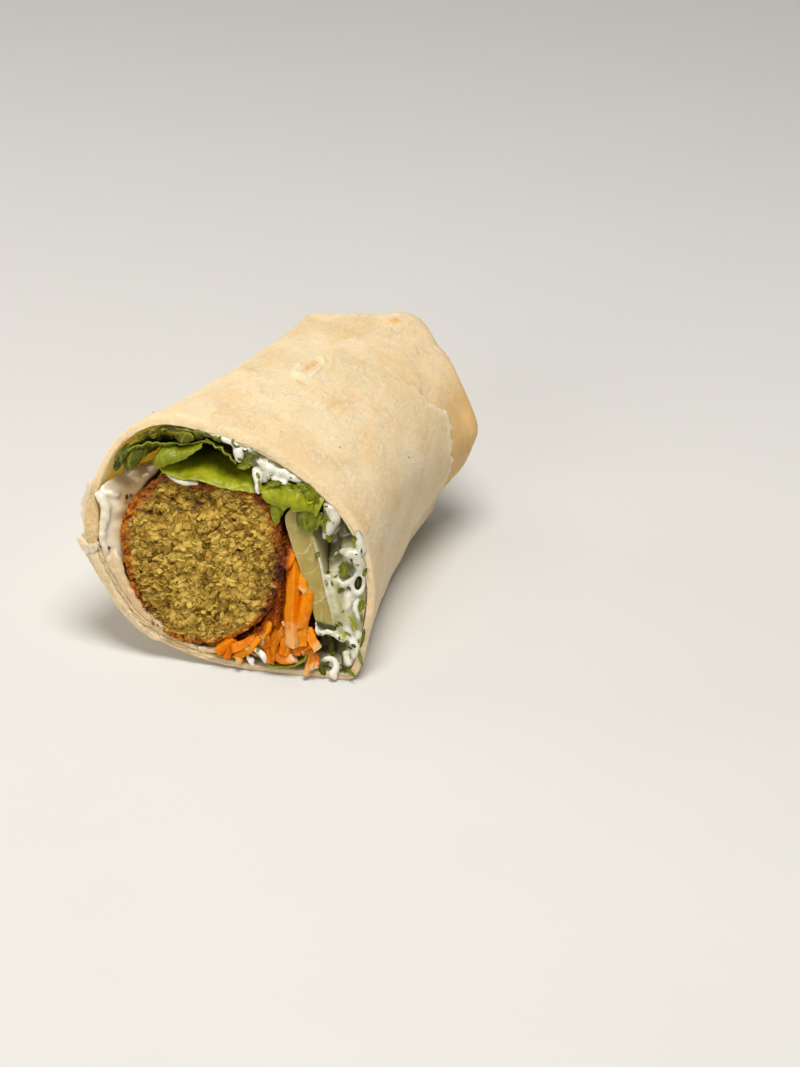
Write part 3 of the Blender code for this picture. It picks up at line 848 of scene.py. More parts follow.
def falafelFinish():
    finish = Finish("falafel", {
        "Subsurface Weight": 0.35, "Subsurface Scale": 0.0012, "Subsurface Radius": (1.0, 0.6, 0.2),
        "Specular IOR Level": 0.27,
    })
    pit, low, middle, high = falafel["crumbs"]
    # the tone carries painted shade, so the dark ends of both ramps paint shade in gaps, hollows, at the top
    # and on the right
    tone = finish.painted("tone") + finish.shifting(0.9, 0.5, 4, 0.6) + finish.shifting(5, 0.4, 2)
    dark, brown, light = falafel["crust"]
    fried = finish.painted("tone") * 0.7 + 0.12 + finish.shifting(2.0, 1.2, 4, 0.65)
    colour = finish.layered(
        finish.ramp(tone, [(0.0, pit), (0.2, low), (0.5, middle), (0.85, high)]),
        (finish.fade(finish.noise(2.2, 3, 0.6), 0.62, 0.7) * 0.4, falafel["herb"]),
        (finish.fade(finish.noise(1.6, 3, 0.6, bend=0.4), 0.6, 0.72) * 0.5, falafel["chickpea"]),
        (finish.painted("crusty"), finish.ramp(fried, [(0.0, dark), (0.45, brown), (0.95, light)])),
        (finish.fade(finish.painted("depth"), 1.5, 7.0) * 0.85, falafel["shadow"]),
    )
    rough = 0.42 - finish.painted("crusty") * 0.14
    return finish.finished(colour, rough, finish.noise(0.5, 4, 0.65), 0.2)


falafelSurface = falafelFinish()
buildFalafel(falafelSurface)
buildGrains(falafelSurface)
print("falafel fried and cut")


# lettuce: thin folded leaves
# a leaf is its front, middle and back edge as (x, z, depth), its ripple, its number of waves
# and its brightness, which also paints shade: low for the leaves at the back of the roll
lettuce = {
    "thickness": 0.38,
    "samples": (74, 46),
    "veinSpacing": 3.4,
    "fineVeinSpacing": 2.3,
    "greens": [
        (0.0, (0.026, 0.031, 0.001)), (0.3, (0.088, 0.096, 0.002)), (0.65, (0.21, 0.235, 0.004)),
        (1.0, (0.44, 0.45, 0.012)),
    ],
    "vein": (0.42, 0.43, 0.05),
    "edge": (0.44, 0.46, 0.06),
    # painted shade that deepens behind each leaf's front edge
    "behind": (0.06, 0.075, 0.003),
    "deepShadeBehind": (0.03, 0.04, 0.004),
    "leavesBack": [
        ([(-24.7, 53.7, -0.6), (-21.5, 55.3, -0.9), (-17.5, 56.3, -0.9), (-12.5, 56.3, -0.8),
          (-7.8, 55.6, -0.5), (-3.5, 54.2, 0.3)],
         [(-24.8, 53.2, 5), (-21.8, 54.5, 5), (-17.5, 55.3, 5), (-12.5, 55.4, 5), (-7.8, 54.6, 5),
          (-3.5, 53, 5)],
         [(-24.5, 52.8, 30), (-21, 54, 30), (-17, 54.6, 30), (-12.5, 54.6, 30), (-8, 53.8, 30),
          (-4, 52.5, 30)],
         0.4, 5.5, 0.12),
        ([(-27, 50.2, -0.8), (-24.5, 51.6, -1.2), (-21, 52.8, -1.2), (-16.5, 53.1, -1), (-12.5, 53.2, -0.8),
          (-8.5, 54, -0.4), (-4.6, 52.6, 0.3)],
         [(-27.4, 48.2, 1.2), (-24.8, 49.4, 1.8), (-21.4, 50.9, 2.4), (-16.8, 51.6, 2.6), (-12.6, 52, 3),
          (-8.4, 52.7, 3), (-4.4, 51.4, 3)],
         [(-26.8, 47.2, 4), (-24.5, 48.2, 6), (-21, 50.4, 9), (-16.5, 51.2, 14), (-12, 51.6, 14),
          (-8, 52, 14), (-4, 51, 14)],
         0.3, 4.5, 0.22),
        ([(-30.3, 46, 0), (-29.6, 45.1, -0.6), (-28.9, 45.4, -0.8), (-27.6, 47.8, -0.6)],
         [(-30.3, 48.4, 0.8), (-29.1, 48.2, -0.9), (-27.7, 48.2, -1.2), (-26.9, 48.8, -0.2)],
         [(-28.9, 50.6, 2), (-28.3, 50.9, 1.2), (-27.4, 51.2, 1), (-26.6, 51.2, 1.4)], 0.1, 2, 0.1),
        ([(-27.6, 46.6, -0.4), (-27, 45.4, -0.9), (-25.9, 45.7, -0.9), (-23.2, 48.6, -0.2)],
         [(-27.1, 48.9, 0.2), (-26, 48.6, -1.3), (-24.4, 48.8, -1.3), (-22.8, 49.6, 0.3)],
         [(-26.7, 50.9, 1.4), (-25.6, 51.2, 0.8), (-24, 51.5, 0.8), (-22.4, 51.6, 1.2)], 0.1, 2, 0.2),
        ([(-28.8, 49.8, 0.5), (-26.6, 52, 0.3), (-23.4, 53.6, 0.1), (-19, 54.6, 0.1), (-14.5, 54.8, 0.2),
          (-10, 54.3, 0.5)],
         [(-28.2, 47.6, 3.2), (-26, 49.6, 3.6), (-23, 51.2, 4), (-19, 52.2, 4.4), (-14.5, 52.6, 4.6),
          (-10, 52.4, 5)],
         [(-27, 46, 8), (-25, 48, 9), (-22.4, 49.6, 10), (-18.8, 50.8, 12), (-14.5, 51.4, 14),
          (-10, 51.4, 14)],
         0.55, 4, 0.2),
        ([(-15.8, 55.6, -1.3), (-14.4, 56, -1.5), (-12.6, 56, -1.5), (-11.2, 55.3, -1.3)],
         [(-15.6, 54.3, -1.2), (-14.2, 53.9, -1.9), (-12.6, 53.9, -1.9), (-11.2, 54.4, -1.2)],
         [(-15.2, 54.4, 0.4), (-14, 54.6, 0.6), (-12.6, 54.6, 0.6), (-11.6, 54.6, 0.4)], 0.12, 2, 0.2),
        ([(-8.8, 54.6, -0.6), (-6, 53.4, -0.9), (-3, 51.6, -0.9), (-0.6, 49.6, -0.6)],
         [(-8.6, 53.4, 1.2), (-6, 52, 1.6), (-3, 50.2, 1.8), (-0.8, 48.6, 1.4)],
         [(-8.4, 53, 6), (-5.8, 51.4, 7), (-3, 49.8, 8), (-0.8, 48.2, 8)], 0.3, 3, 0.26),
    ],
    "leavesFront": [
        ([(-19.3, 46.9, -0.4), (-17.2, 45.7, -1.3), (-13.7, 45, -1.6), (-8.7, 44.9, -1.7), (-5, 44.3, -1.7),
          (-0.5, 43.6, -1.6), (3.6, 43.3, -1.3), (7.2, 42.8, -0.6)],
         [(-19.6, 48.4, 6), (-17.2, 47.9, 7), (-13.7, 47.5, 8), (-8.7, 47.2, 9), (-5, 46.7, 9),
          (-0.5, 45.8, 9), (3.6, 45, 8), (7.4, 44, 7)],
         [(-19, 50.5, 20), (-16.5, 49.5, 26), (-13, 49, 28), (-8, 48.8, 30), (-4.5, 48.2, 30), (0, 47, 30),
          (4, 46, 30), (7.4, 44.8, 30)],
         0.28, 3.2, 0.78),
        ([(-19.6, 46.8, -1.2), (-18, 47.6, -1.9), (-15.4, 48.6, -2), (-12.4, 50, -1.6), (-9.4, 52.6, -0.6)],
         [(-20.2, 49, -0.6), (-18.4, 50, -2.3), (-15.2, 50.2, -2.2), (-12.4, 51.2, -1.4), (-9.4, 53.2, -0.4)],
         [(-19.6, 51.2, 1.5), (-18.2, 51.9, 0.6), (-15, 51.6, 0.2), (-12.4, 52.2, 0.6), (-9.6, 53.6, 1.2)],
         0.1, 2.4, 0.62),
        ([(-19.6, 46.8, -1.2), (-20, 48.4, -0.8), (-19.9, 50, -0.2), (-19.2, 51.4, 0.8)],
         [(-18.8, 47.4, 2.5), (-19.3, 48.8, 3), (-19.2, 50.2, 3.5), (-18.6, 51.4, 4)],
         [(-18.6, 48, 8), (-19, 49.2, 9), (-18.9, 50.4, 9), (-18.2, 51.4, 9)], 0.1, 2, 0.5),
    ],
    "leavesSide": [
        ([(7.4, 42.2, -1), (10.3, 40.7, -1.9), (13.4, 40.6, -2.1), (16.7, 40.2, -1.9), (20.1, 39.2, -0.8)],
         [(6.8, 43.4, -1), (9.8, 43.2, -2.3), (13.4, 43.4, -2.6), (17.2, 42.9, -2.3), (20.9, 41.4, -1)],
         [(7, 44.4, 1), (9.2, 45.3, 0.6), (13, 45.7, 0.4), (17, 44.9, 0.5), (21, 42.6, 1)], 0.5, 3.4, 0.78),
        ([(9.6, 38.4, -0.4), (10.4, 36, -1), (11.2, 36.8, -1), (11.6, 38.6, -0.6)],
         [(8.7, 40.2, -0.5), (9.8, 39.2, -1.7), (11.2, 39.4, -1.7), (12.4, 40.2, -0.6)],
         [(8.2, 42, 0.6), (9.6, 42.4, -0.4), (11.4, 42.4, -0.4), (12.8, 42, 0.6)], 0.1, 2, 0.62),
        ([(16, 36.6, -1.1), (17.6, 35.4, -1.5), (19.3, 35.2, -1.5), (20.6, 36.2, -1.1)],
         [(15.4, 38.4, -1), (17.2, 38, -1.8), (19.4, 37.6, -1.8), (21.2, 37.6, -1.2)],
         [(15, 40.8, 0.2), (17, 40.9, -0.6), (19.4, 40.2, -0.6), (21.2, 39.4, 0.2)], 0.16, 3, 0.4),
        ([(20.6, 38.4, -0.8), (21.9, 36.4, -1.2), (23.2, 33.8, -1), (23.8, 33, -0.6)],
         [(21.4, 38.8, -1), (22.6, 36.8, -1.7), (23.6, 34.4, -1.4), (24, 33.2, -0.7)],
         [(22, 38.6, 0.4), (22.9, 36.6, 0.2), (23.9, 34.6, 0.2), (24.2, 33.6, 0.2)], 0.05, 2, 0.45),
        ([(14.6, 46.2, -0.8), (16.4, 44.6, -1.4), (17, 43.2, -1.6), (16.4, 42.2, -1.4)],
         [(15.8, 46.4, -0.9), (17.6, 45, -1.8), (18.4, 43.6, -2), (18.4, 42.4, -1.6)],
         [(17, 46.2, 0.6), (18.8, 44.8, 0.2), (19.8, 43.4, 0), (20.4, 42.2, 0.2)], 0.12, 3, 0.5),
    ],
}


def leafPart(leaf, seed):
    *edges, ripple, waves, bright = leaf
    across, along = lettuce["samples"]
    share = np.linspace(0, 1, along)[:, None, None] ** 1.35
    flat = sum(weight * curveThrough(edge, across) for weight, edge in zip(stationWeights(share), edges))
    points = insideWrap(*np.moveaxis(flat, -1, 0))
    # how far each point lies along the leaf's front edge, and behind it
    run = np.cumsum(np.linalg.norm(np.diff(points[0], axis=0, prepend=points[0][:1]), axis=1))
    reach = np.cumsum(np.linalg.norm(np.diff(points, axis=0, prepend=points[:1]), axis=2), axis=0)
    normal = unit(np.cross(np.gradient(points, axis=1), np.gradient(points, axis=0)))
    wave = np.sin(run / run[-1] * waves * 2 * math.pi + 1.3 * np.sin(run * 0.7 + seed))
    lift = ripple * wave * (0.25 + 0.75 * np.exp(-reach / 2.2))
    lift += 0.5 * ripple * softNoise(points, 2.6, seed + 40) + 0.12 * softNoise(points, 1.2, seed + 41)
    lift += min(run[-1] / 30, 1) * 0.5 * softNoise(points, 4.6, seed + 45)
    # side veins that run forward, and finer ones across them; the leaf bulges between them
    veinRun = (run + 0.45 * reach + 0.9 * softNoise(points, 5, seed + 42)) / lettuce["veinSpacing"]
    fineRun = (reach - 0.5 * run + 0.9 * softNoise(points, 3, seed + 43)) / lettuce["fineVeinSpacing"]
    fine = 0.45 * bell(fineRun, np.round(fineRun), 0.07)
    vein = np.maximum(bell(veinRun, np.round(veinRun), 0.055), fine)
    bulge = 0.12 * np.abs(np.sin(math.pi * veinRun)) + 0.03 * np.abs(np.sin(math.pi * fineRun))
    lift -= np.clip(run[-1] / 40, 0.2, 1) * (0.2 * vein - bulge)
    jag = 0.3 * np.exp(-reach / 0.6) * softNoise(points, 0.9, seed + 44)
    points = points + normal * lift[..., None]
    points[..., 2] += jag
    looks = {"vein": vein, "edge": np.exp(-reach / 0.35), "reach": reach, "bright": bright}
    return points, gridFaces(along, across), looks


def buildLeaves(name, node, leaves, finish):
    parts = [leafPart(leaf, number + 0.37 * len(leaves)) for number, leaf in enumerate(leaves)]
    makePiece(name, node, parts, finish, thickness=lettuce["thickness"])


def lettuceFinish():
    finish = Finish("lettuce", {
        "Subsurface Weight": 0.15, "Subsurface Scale": 0.001, "Subsurface Radius": (0.5, 1.0, 0.2),
        "Specular IOR Level": 0.22,
    })
    shade = finish.painted("bright") + finish.shifting(5, 0.8) + finish.shifting(1.4, 0.35)
    colour = finish.layered(
        finish.ramp(shade, lettuce["greens"]),
        (finish.painted("vein") * 0.35, lettuce["vein"]),
        (finish.painted("edge") * 0.5, lettuce["edge"]),
        # painted shade that deepens behind each leaf's front edge
        (finish.fade(finish.painted("reach"), 2.0, 8.0) * 0.6, lettuce["behind"]),
        (finish.fade(finish.painted("reach"), 6.0, 16.0) * 0.8, lettuce["deepShadeBehind"]),
    )
    relief = finish.noise(0.9, 3, 0.6) + finish.noise(0.3, 2) * 0.4
    return finish.finished(colour, 0.18 + finish.noise(3, 2) * 0.16, relief, 0.16, 0.7)


lettuceSurface = lettuceFinish()
for name, node in (
    ("leavesBack", "lettuce_back"),
    ("leavesFront", "lettuce_front"),
    ("leavesSide", "lettuce_side"),
):
    buildLeaves(name, node, lettuce[name], lettuceSurface)
print("lettuce folded in")


# cucumber: a plank with its skin on the narrow ends
# a seed is (x, z, depth, tilt)
cucumber = {
    "left": [(13.2, 39.6), (12.5, 37.4), (14.5, 32.2), (17.2, 26.6), (19.9, 20.8), (22, 15.7), (23.2, 12.9)],
    "right": [(15.6, 40.2), (17.8, 37.3), (20.3, 33), (22.8, 27.4), (25, 21.4), (27.3, 14.8), (28, 12.2)],
    "seeds": [
        (24.9, 24.2, 3.4, 70), (25.9, 20.6, 2.6, 60), (27.2, 17.2, 3.2, 75), (25.2, 27.9, 5, 55),
        (26.9, 21.4, 6, 80),
    ],
    "seedTurn": 60,
    "seedSize": (0.85, 0.4, 2.1),
    "lowerEnd": (23.2, 13.0),
    "proud": 0.9,
    "reach": 66.0,
    "rounding": 0.45,
    "flesh": (0.39, 0.29, 0.062),
    "pale": (0.50, 0.40, 0.115),
    "fibre": (0.72, 0.66, 0.38),
    "thread": (0.78, 0.70, 0.42),
    # painted shade over the top of the plank
    "upper": (0.24, 0.20, 0.06),
    # the plank's sides, painted darker as shade
    "sides": [(0.12, 0.105, 0.012), (0.40, 0.35, 0.11)],
    "skin": (0.045, 0.06, 0.01),
    "underSkin": (0.30, 0.36, 0.10),
    "rim": (0.80, 0.74, 0.48),
    "seed": [(0.62, 0.60, 0.32), (0.80, 0.78, 0.56)],
}


def buildCucumber(finish):
    left = curveThrough(cucumber["left"], 90)
    right = curveThrough(cucumber["right"], 90)
    bottom = curveThrough([left[-1], left[-1] * 0.55 + right[-1] * 0.45 + (0.2, -0.7), right[-1]], 14)[1:-1]
    top = curveThrough([right[0], right[0] * 0.5 + left[0] * 0.5 + (0, 0.7), left[0]], 14)[1:-1]
    loop = np.concatenate([left, bottom, right[::-1], top])
    axisTop, axisEnd = (left[4] + right[4]) / 2, (left[-5] + right[-5]) / 2
    run = axisEnd - axisTop
    spine = axisTop + np.clip(((loop - axisTop) @ run) / run.dot(run), 0, 1)[:, None] * run
    half = np.linalg.norm(loop - spine, axis=1)
    rounding = cucumber["rounding"]
    rings = []
    for inward in np.linspace(0.03, 1, 16) ** 0.75:
        flat = spine + (loop - spine) * inward
        edge = half * (1 - inward)
        drop = rounding - np.sqrt(rounding**2 - np.clip(rounding - edge, 0, None) ** 2)
        waves = 0.12 * softNoise(stacked(flat[:, 0], flat[:, 1], edge), 2.5, 61)
        rings.append(stacked(flat[:, 0], flat[:, 1], drop - cucumber["proud"] + waves))
    facing = len(rings)
    for deep in np.concatenate([np.linspace(0, 12, 26), np.linspace(14, cucumber["reach"], 14)]):
        waves = 0.12 * softNoise(stacked(loop[:, 0], loop[:, 1], deep), 3, 62)
        side = loop + (waves / half)[:, None] * (loop - spine)
        rings.append(stacked(side[:, 0], side[:, 1], deep))
    rings = np.array(rings)
    flat = rings[..., :2]
    grid = insideWrap(*np.moveaxis(rings, -1, 0))
    below = rings[..., 1] - cucumber["lowerEnd"][1] + 0.15 * (rings[..., 0] - cucumber["lowerEnd"][0])
    painted = {
        "skin": 1 - smoothStep(below + 0.25 * softNoise(grid, 2, 63), 0.7, 1.3),
        "underSkin": 1 - smoothStep(below, 0.6, 3.5),
        "rimmed": 1 - smoothStep(np.linalg.norm(loop - flat, axis=2), 0.15, 0.55),
        # the sides, which get painted shade
        "sided": np.repeat(np.arange(len(rings)) >= facing, len(loop)),
        "bands": (flat - axisEnd) @ unit(run) / 6.5,
        # painted shade towards the top
        "upper": smoothStep(rings[..., 1], 27, 39),
    }
    makePiece("cucumberPlank", "cucumber", [(grid, tubeFaces(*grid.shape[:2], turned=True), painted)], finish)


def cucumberFinish():
    finish = Finish("cucumber", {
        "Subsurface Weight": 0.45, "Subsurface Scale": 0.003, "Subsurface Radius": (1.0, 0.9, 0.35),
        "Specular IOR Level": 0.35, "Coat Weight": 0.2, "Coat Roughness": 0.1,
    })
    cloud = finish.fade(finish.noise(6, 3), 0.3, 0.7)
    fibres = finish.fade(finish.noise(2.2, 3, 0.6, (1.0, 1.0, 0.25), 1.2), 0.52, 0.66)
    bent = finish.painted("bands") + finish.shifting(7, 1.4, 2)
    thread = finish.add("ShaderNodeMath", {"operation": "PINGPONG"}, {0: bent, 1: 0.5})
    colour = finish.layered(
        finish.mix(cloud, cucumber["flesh"], cucumber["pale"]),
        (fibres * 0.25, cucumber["fibre"]),
        (finish.fade(thread, 0.035, 0.0) * 0.5, cucumber["thread"]),
        # painted shade over the top
        (finish.painted("upper") * 0.45, cucumber["upper"]),
        # painted shade on the sides
        (finish.painted("sided") * 0.8, finish.mix(finish.noise(4, 3), *cucumber["sides"])),
        (finish.painted("underSkin") * 0.45, cucumber["underSkin"]),
        (finish.painted("rimmed") * 0.3, cucumber["rim"]),
        (finish.painted("skin"), cucumber["skin"]),
    )
    relief = finish.noise(0.9, 3, 0.6) + fibres * 0.3
    return finish.finished(colour, 0.22 + finish.noise(2, 3) * 0.25, relief, 0.12, 0.6)


def buildSeeds(finish):
    lengthwise = np.linspace(0, math.pi, 10)[:, None]
    around = np.linspace(0, 2 * math.pi, 16, endpoint=False)
    wide, thick, long = cucumber["seedSize"]
    girth = np.sin(lengthwise)
    length = np.cos(lengthwise) * long * (1 - 0.12 * np.cos(lengthwise))
    body = stacked(girth * wide * np.cos(around), girth * thick * np.sin(around), length)
    faces = [face[::-1] for face in gridFaces(*body.shape[:2], closed=True)]
    parts = []
    for x, z, depth, tilt in cucumber["seeds"]:
        spin = Matrix.Rotation(math.radians(cucumber["seedTurn"]), 3, "Z")
        turn = Matrix.Rotation(math.radians(tilt), 3, "X") @ spin
        parts.append((body @ np.array(turn).T + insideWrap(x, z, depth), faces, {}))
    makePiece("cucumberSeeds", "cucumber", parts, finish)


def seedFinish():
    finish = Finish("cucumberSeed", {
        "Subsurface Weight": 0.4, "Subsurface Scale": 0.001, "Specular IOR Level": 0.6,
    })
    colour = finish.mix(finish.noise(1.2, 2), *cucumber["seed"])
    return finish.finished(colour, 0.2 + finish.noise(1, 2) * 0.15)


buildCucumber(cucumberFinish())
buildSeeds(seedFinish())
print("cucumber sliced")


# carrot: grated shreds over a heap painted darker as shade
# a shred is a path of (x, z, depth), half its width, its flatness, how much sauce is on its far end,
# and its tone, which also paints shade on the shreds that lie in shade
carrot = {
    "shreds": [
        ([(12.6, 32, 4), (14.3, 29.8, 1.6), (15, 28.2, 0), (14, 26.2, -0.9)], 1.35, 0.5, 0.1, 0.55),
        ([(15.2, 27.4, 1.6), (16.3, 22.6, -0.4), (17, 18.6, -1.1), (17.4, 15, -1.5), (17.9, 11.5, -1.9),
          (18.3, 7.9, -1.7)], 1.75, 0.62, 0.85, 0.75),
        ([(16.2, 26.4, 3), (17.4, 23, 1.4), (18, 18.4, 0.9)], 1.2, 0.7, 0, 0.3),
        ([(18.2, 25.6, 1.2), (18.6, 23, -0.5), (18.8, 20.8, -1)], 1.25, 0.6, 0.9, 0.7),
        ([(19.2, 22.4, 1.2), (19.9, 19, -0.4), (20, 16.3, -1.1), (19.8, 13.6, -1.2)], 1.75, 0.7, 0.5, 0.6),
        ([(13.2, 24.2, 4), (13.8, 18.6, 1.2), (13.7, 15, 0.2), (13.5, 11.4, -0.5)], 1.95, 0.55, 0.1, 0.22),
        ([(12.6, 18.4, 4), (12, 15.3, 2.6), (11, 12.2, 2)], 1.6, 0.6, 0, 0.1),
        ([(12.8, 14, 2.6), (11.7, 11.7, 0.9), (11.4, 9.6, 0), (11.3, 7.2, -0.9)], 1.7, 0.7, 0.6, 0.5),
        ([(14.9, 12.4, 1.4), (14.1, 8.8, 0.1), (13.7, 5.2, -0.7)], 1.6, 0.7, 0.25, 0.45),
        ([(16.5, 14.4, 0.8), (16, 13.2, -0.4), (15.5, 12.3, -0.9)], 0.95, 0.8, 1, 0.8),
        ([(16.4, 11.4, 0.2), (16.2, 8.4, -0.8), (16.3, 5.4, -1.3)], 1.25, 0.8, 0.4, 0.6),
        ([(19.4, 14.4, 0), (20.4, 11.2, -1.1), (20.9, 8.2, -1.6)], 1.3, 0.8, 0.3, 0.65),
        ([(20.9, 12.2, -0.2), (22.6, 9.9, -1.3), (24.2, 7.8, -1.8)], 1.35, 0.75, 1, 0.7),
        ([(3.6, 7, 0.6), (2, 5.8, -0.3), (0.4, 4.6, -0.9)], 1.35, 0.75, 0.3, 0.55),
        ([(3.1, 5.8, 0.2), (2.8, 4.4, -0.5), (2.7, 2.9, -1)], 0.9, 0.8, 0.3, 0.6),
        ([(10.4, 8.1, 1.4), (7.4, 6.9, -0.2), (3.7, 5.4, -1)], 1.5, 0.7, 0.45, 0.5),
        ([(7.6, 5.6, 0.4), (5.6, 4, -0.8), (5.2, 2.9, -1.2)], 1.3, 0.7, 0.9, 0.7),
        ([(14.2, 12, 2.2), (14, 8, -0.2), (14.1, 4, -1.2)], 1.3, 0.8, 0.2, 0.35),
        ([(15.6, 9.2, 0.6), (17, 7.1, -1), (17.1, 5.3, -1.5)], 1.15, 0.85, 0.1, 0.7),
        ([(13.4, 4.8, -0.4), (16.8, 3.9, -1.4), (19.2, 5, -1.7)], 1.2, 0.7, 1, 0.7),
        ([(12.2, 6.8, -0.1), (12.9, 4.4, -0.9), (13.2, 3.2, -1.1)], 1.1, 0.7, 0.5, 0.6),
        ([(21.8, 6.9, -0.5), (22.9, 4.8, -1.3), (22.4, 1.6, -2)], 0.8, 0.8, 1, 0.35),
        ([(21.9, 6.9, -0.6), (23.7, 5, -1.3), (23.4, 2.6, -2)], 0.75, 0.7, 1, 0.5),
        ([(22, 6.8, -0.5), (24.4, 5.2, -1.2), (24.3, 3.2, -1.8)], 0.75, 0.7, 1, 0.4),
        ([(18.6, 12.2, 1), (18.9, 8.8, 0), (19.4, 5.4, -0.9)], 1.3, 0.7, 0.4, 0.35),
        ([(8.9, 9.6, 1.6), (8.8, 7.4, 0.4), (8.4, 5, -0.5)], 1.2, 0.7, 0.5, 0.4),
        ([(6.5, 42.9, -0.9), (6.6, 42, -1.3)], 0.4, 0.8, 0.2, 0.8),
    ],
    "heap": [
        (13.8, 33), (14.9, 29.5), (17, 24), (18.9, 19), (21.7, 12.4), (23.5, 8.3), (22.6, 5.6), (15, 5.8),
        (7.5, 5.3), (2.2, 4), (1.6, 5.1), (5.8, 8), (10.2, 12), (13.2, 17.2), (14.2, 23), (13.8, 28.5),
    ],
    "heapMiddle": (14.6, 11),
    "heapSize": 0.93,
    "heapFront": 3.6,
    "heapReach": 76,
    "deepShreds": 60,
    "bits": 9,
    "samples": 30,
    "seed": 11,
    "dark": (0.12, 0.013, 0.0003),
    "orange": (0.72, 0.175, 0.0008),
    "light": (0.90, 0.32, 0.004),
    "sauced": (0.95, 0.52, 0.20),
    "cutEnd": (0.95, 0.70, 0.48),
}


def withinOutline(outline, x, z):
    # whether each point lies inside
    inside = np.zeros(np.shape(x), bool)
    for (ax, az), (bx, bz) in zip(outline, np.roll(outline, -1, 0)):
        crosses = (az > z) != (bz > z)
        inside = inside ^ (crosses & (x < (bx - ax) * (z - az) / ((bz - az) or 1e-9) + ax))
    return inside


def shredSection(flatness, chance):
    # a squarish section with crisp corners and faint ridges
    side = [-0.94, -0.5, 0.0, 0.5, 0.94]
    top = [(x, 1.0) for x in side[::-1]] + [(-1, 0.86), (-1, 0), (-1, -0.86)]
    bottom = [(x, -1.0) for x in side] + [(1, -0.86), (1, 0), (1, 0.86)]
    ridges = [[chance.uniform(0.9, 1.08)] for _ in top + bottom]
    return np.array(top + bottom) * (1, flatness) * ridges


def randomShreds(chance):
    # further shreds deep in the heap, and bits in front of it
    heap = np.array(carrot["heap"])
    middle = heap.mean(0)
    shreds = []
    while len(shreds) < carrot["deepShreds"]:
        x, z = middle + (heap[chance.randrange(len(heap))] - middle) * chance.uniform(0.1, 0.85)
        lean = chance.gauss(-1.3, 0.45)
        length = chance.uniform(5, 10)
        depth = chance.uniform(3.2, 14)
        way = np.array((math.cos(lean), math.sin(lean))) * length
        path = [(x + way[0] * s, z + way[1] * s, depth + chance.uniform(-1, 3) * s) for s in (-0.5, 0, 0.5)]
        if withinOutline(heap, *np.array(path).T[:2]).all():
            half, flatness = chance.uniform(1.0, 1.6), chance.uniform(0.55, 0.8)
            # deep shreds get a low tone as painted shade
            shreds.append((path, half, flatness, 0, chance.uniform(0.0, 0.3)))
    while len(shreds) < carrot["deepShreds"] + carrot["bits"]:
        x, z = chance.uniform(6, 22), chance.uniform(4, 13)
        lean, length = chance.uniform(-2.3, -0.8), chance.uniform(3.0, 5.0)
        way = np.array((math.cos(lean), math.sin(lean))) * length
        path = [(x + way[0] * s, z + way[1] * s, chance.uniform(-1.9, -1.1)) for s in (-0.5, 0.5)]
        if withinOutline(heap, *np.array(path).T[:2]).all():
            ranges = ((0.6, 0.95), (0.6, 0.9), (0, 0.9), (0.3, 0.8))
            shreds.append((path, *(chance.uniform(low, high) for low, high in ranges)))
    return shreds


def buildShreds(finish):
    chance = random.Random(carrot["seed"])
    parts = []
    share = np.linspace(0, 1, carrot["samples"])
    for path, half, flatness, sauce, tone in carrot["shreds"] + randomShreds(chance):
        line = insideWrap(*curveThrough(path, len(share)).T)
        wander = rawNoise(stacked((share * 2.2 + half * 31)[:, None], np.arange(3) * 7.7, flatness * 19))
        widths = half * (0.86 + 0.12 * rawNoise(stacked(share * 5, half * 50, path[0][0])))
        section = shredSection(min(1.3 * flatness, 1.0), chance)
        facing = np.array(cutNormal) + [chance.gauss(0, 0.55) for _ in range(3)]
        slants = (chance.uniform(-0.7, 0.7), chance.uniform(-0.7, 0.7))
        points, faces = sweep(line + 0.3 * wander, section, widths, chance.uniform(-0.5, 0.5), facing, slants)
        ends = np.repeat([1, *smoothStep(np.abs(share - 0.5), 0.4, 0.5), 1], len(section))
        far = np.repeat([0, *share, 1], len(section))
        rough = 0.13 * softNoise(points, 1.4, 71) + 0.05 * softNoise(points, 0.5, 73)
        points = points + (rough + 0.28 * ends * softNoise(points, 0.6, 70))[:, None]
        x, y, z = points.T
        # painted shade: darker deep in the heap and beside the falafel
        tone = tone + chance.uniform(-0.2, 0.15) - 0.6 * smoothStep(y - cutY(x, z), 0.6, 3.4)
        away = points[:, [0, 2]] - falafel["middle"]
        turns = np.arctan2(away[:, 1], away[:, 0])
        beside = np.hypot(*away.T) - outlineRadius(falafel["outline"], np.array(falafel["middle"]), turns)
        tone -= 0.7 * smoothStep(beside, 3.0, 0.4) * smoothStep(z, 7, 11)
        wet = sauce * (0.15 + 0.85 * smoothStep(far, 0.4, 0.9))
        parts.append((points, faces, {"tone": tone, "sauced": wet, "cutEnd": 0.4 * ends}))
    makePiece("carrotShreds", "carrot_shreds", parts, finish)


def buildHeap(finish):
    loop = curveThrough(carrot["heap"], 140, closed=True)
    middle = np.array(carrot["heapMiddle"])
    size = carrot["heapSize"]
    front = [(inward, carrot["heapFront"] + 1.4 * inward**3) for inward in np.linspace(0.05, size, 16)]
    rings = []
    for inward, deep in front + [(size, deep) for deep in np.linspace(5.4, carrot["heapReach"], 24)]:
        flat = middle + (loop - middle) * inward
        rings.append(stacked(flat[:, 0], flat[:, 1], deep))
    rings = np.array(rings)
    rings[..., 2] += 0.7 * softNoise(rings, 1.8, 72)
    grid = insideWrap(*np.moveaxis(rings, -1, 0))
    # the heap's low tone is painted shade behind the shreds
    looks = {"tone": -0.2, "sauced": 0, "cutEnd": 0}
    makePiece("carrotHeap", "carrot_shreds", [(grid, tubeFaces(*grid.shape[:2]), looks)], finish)


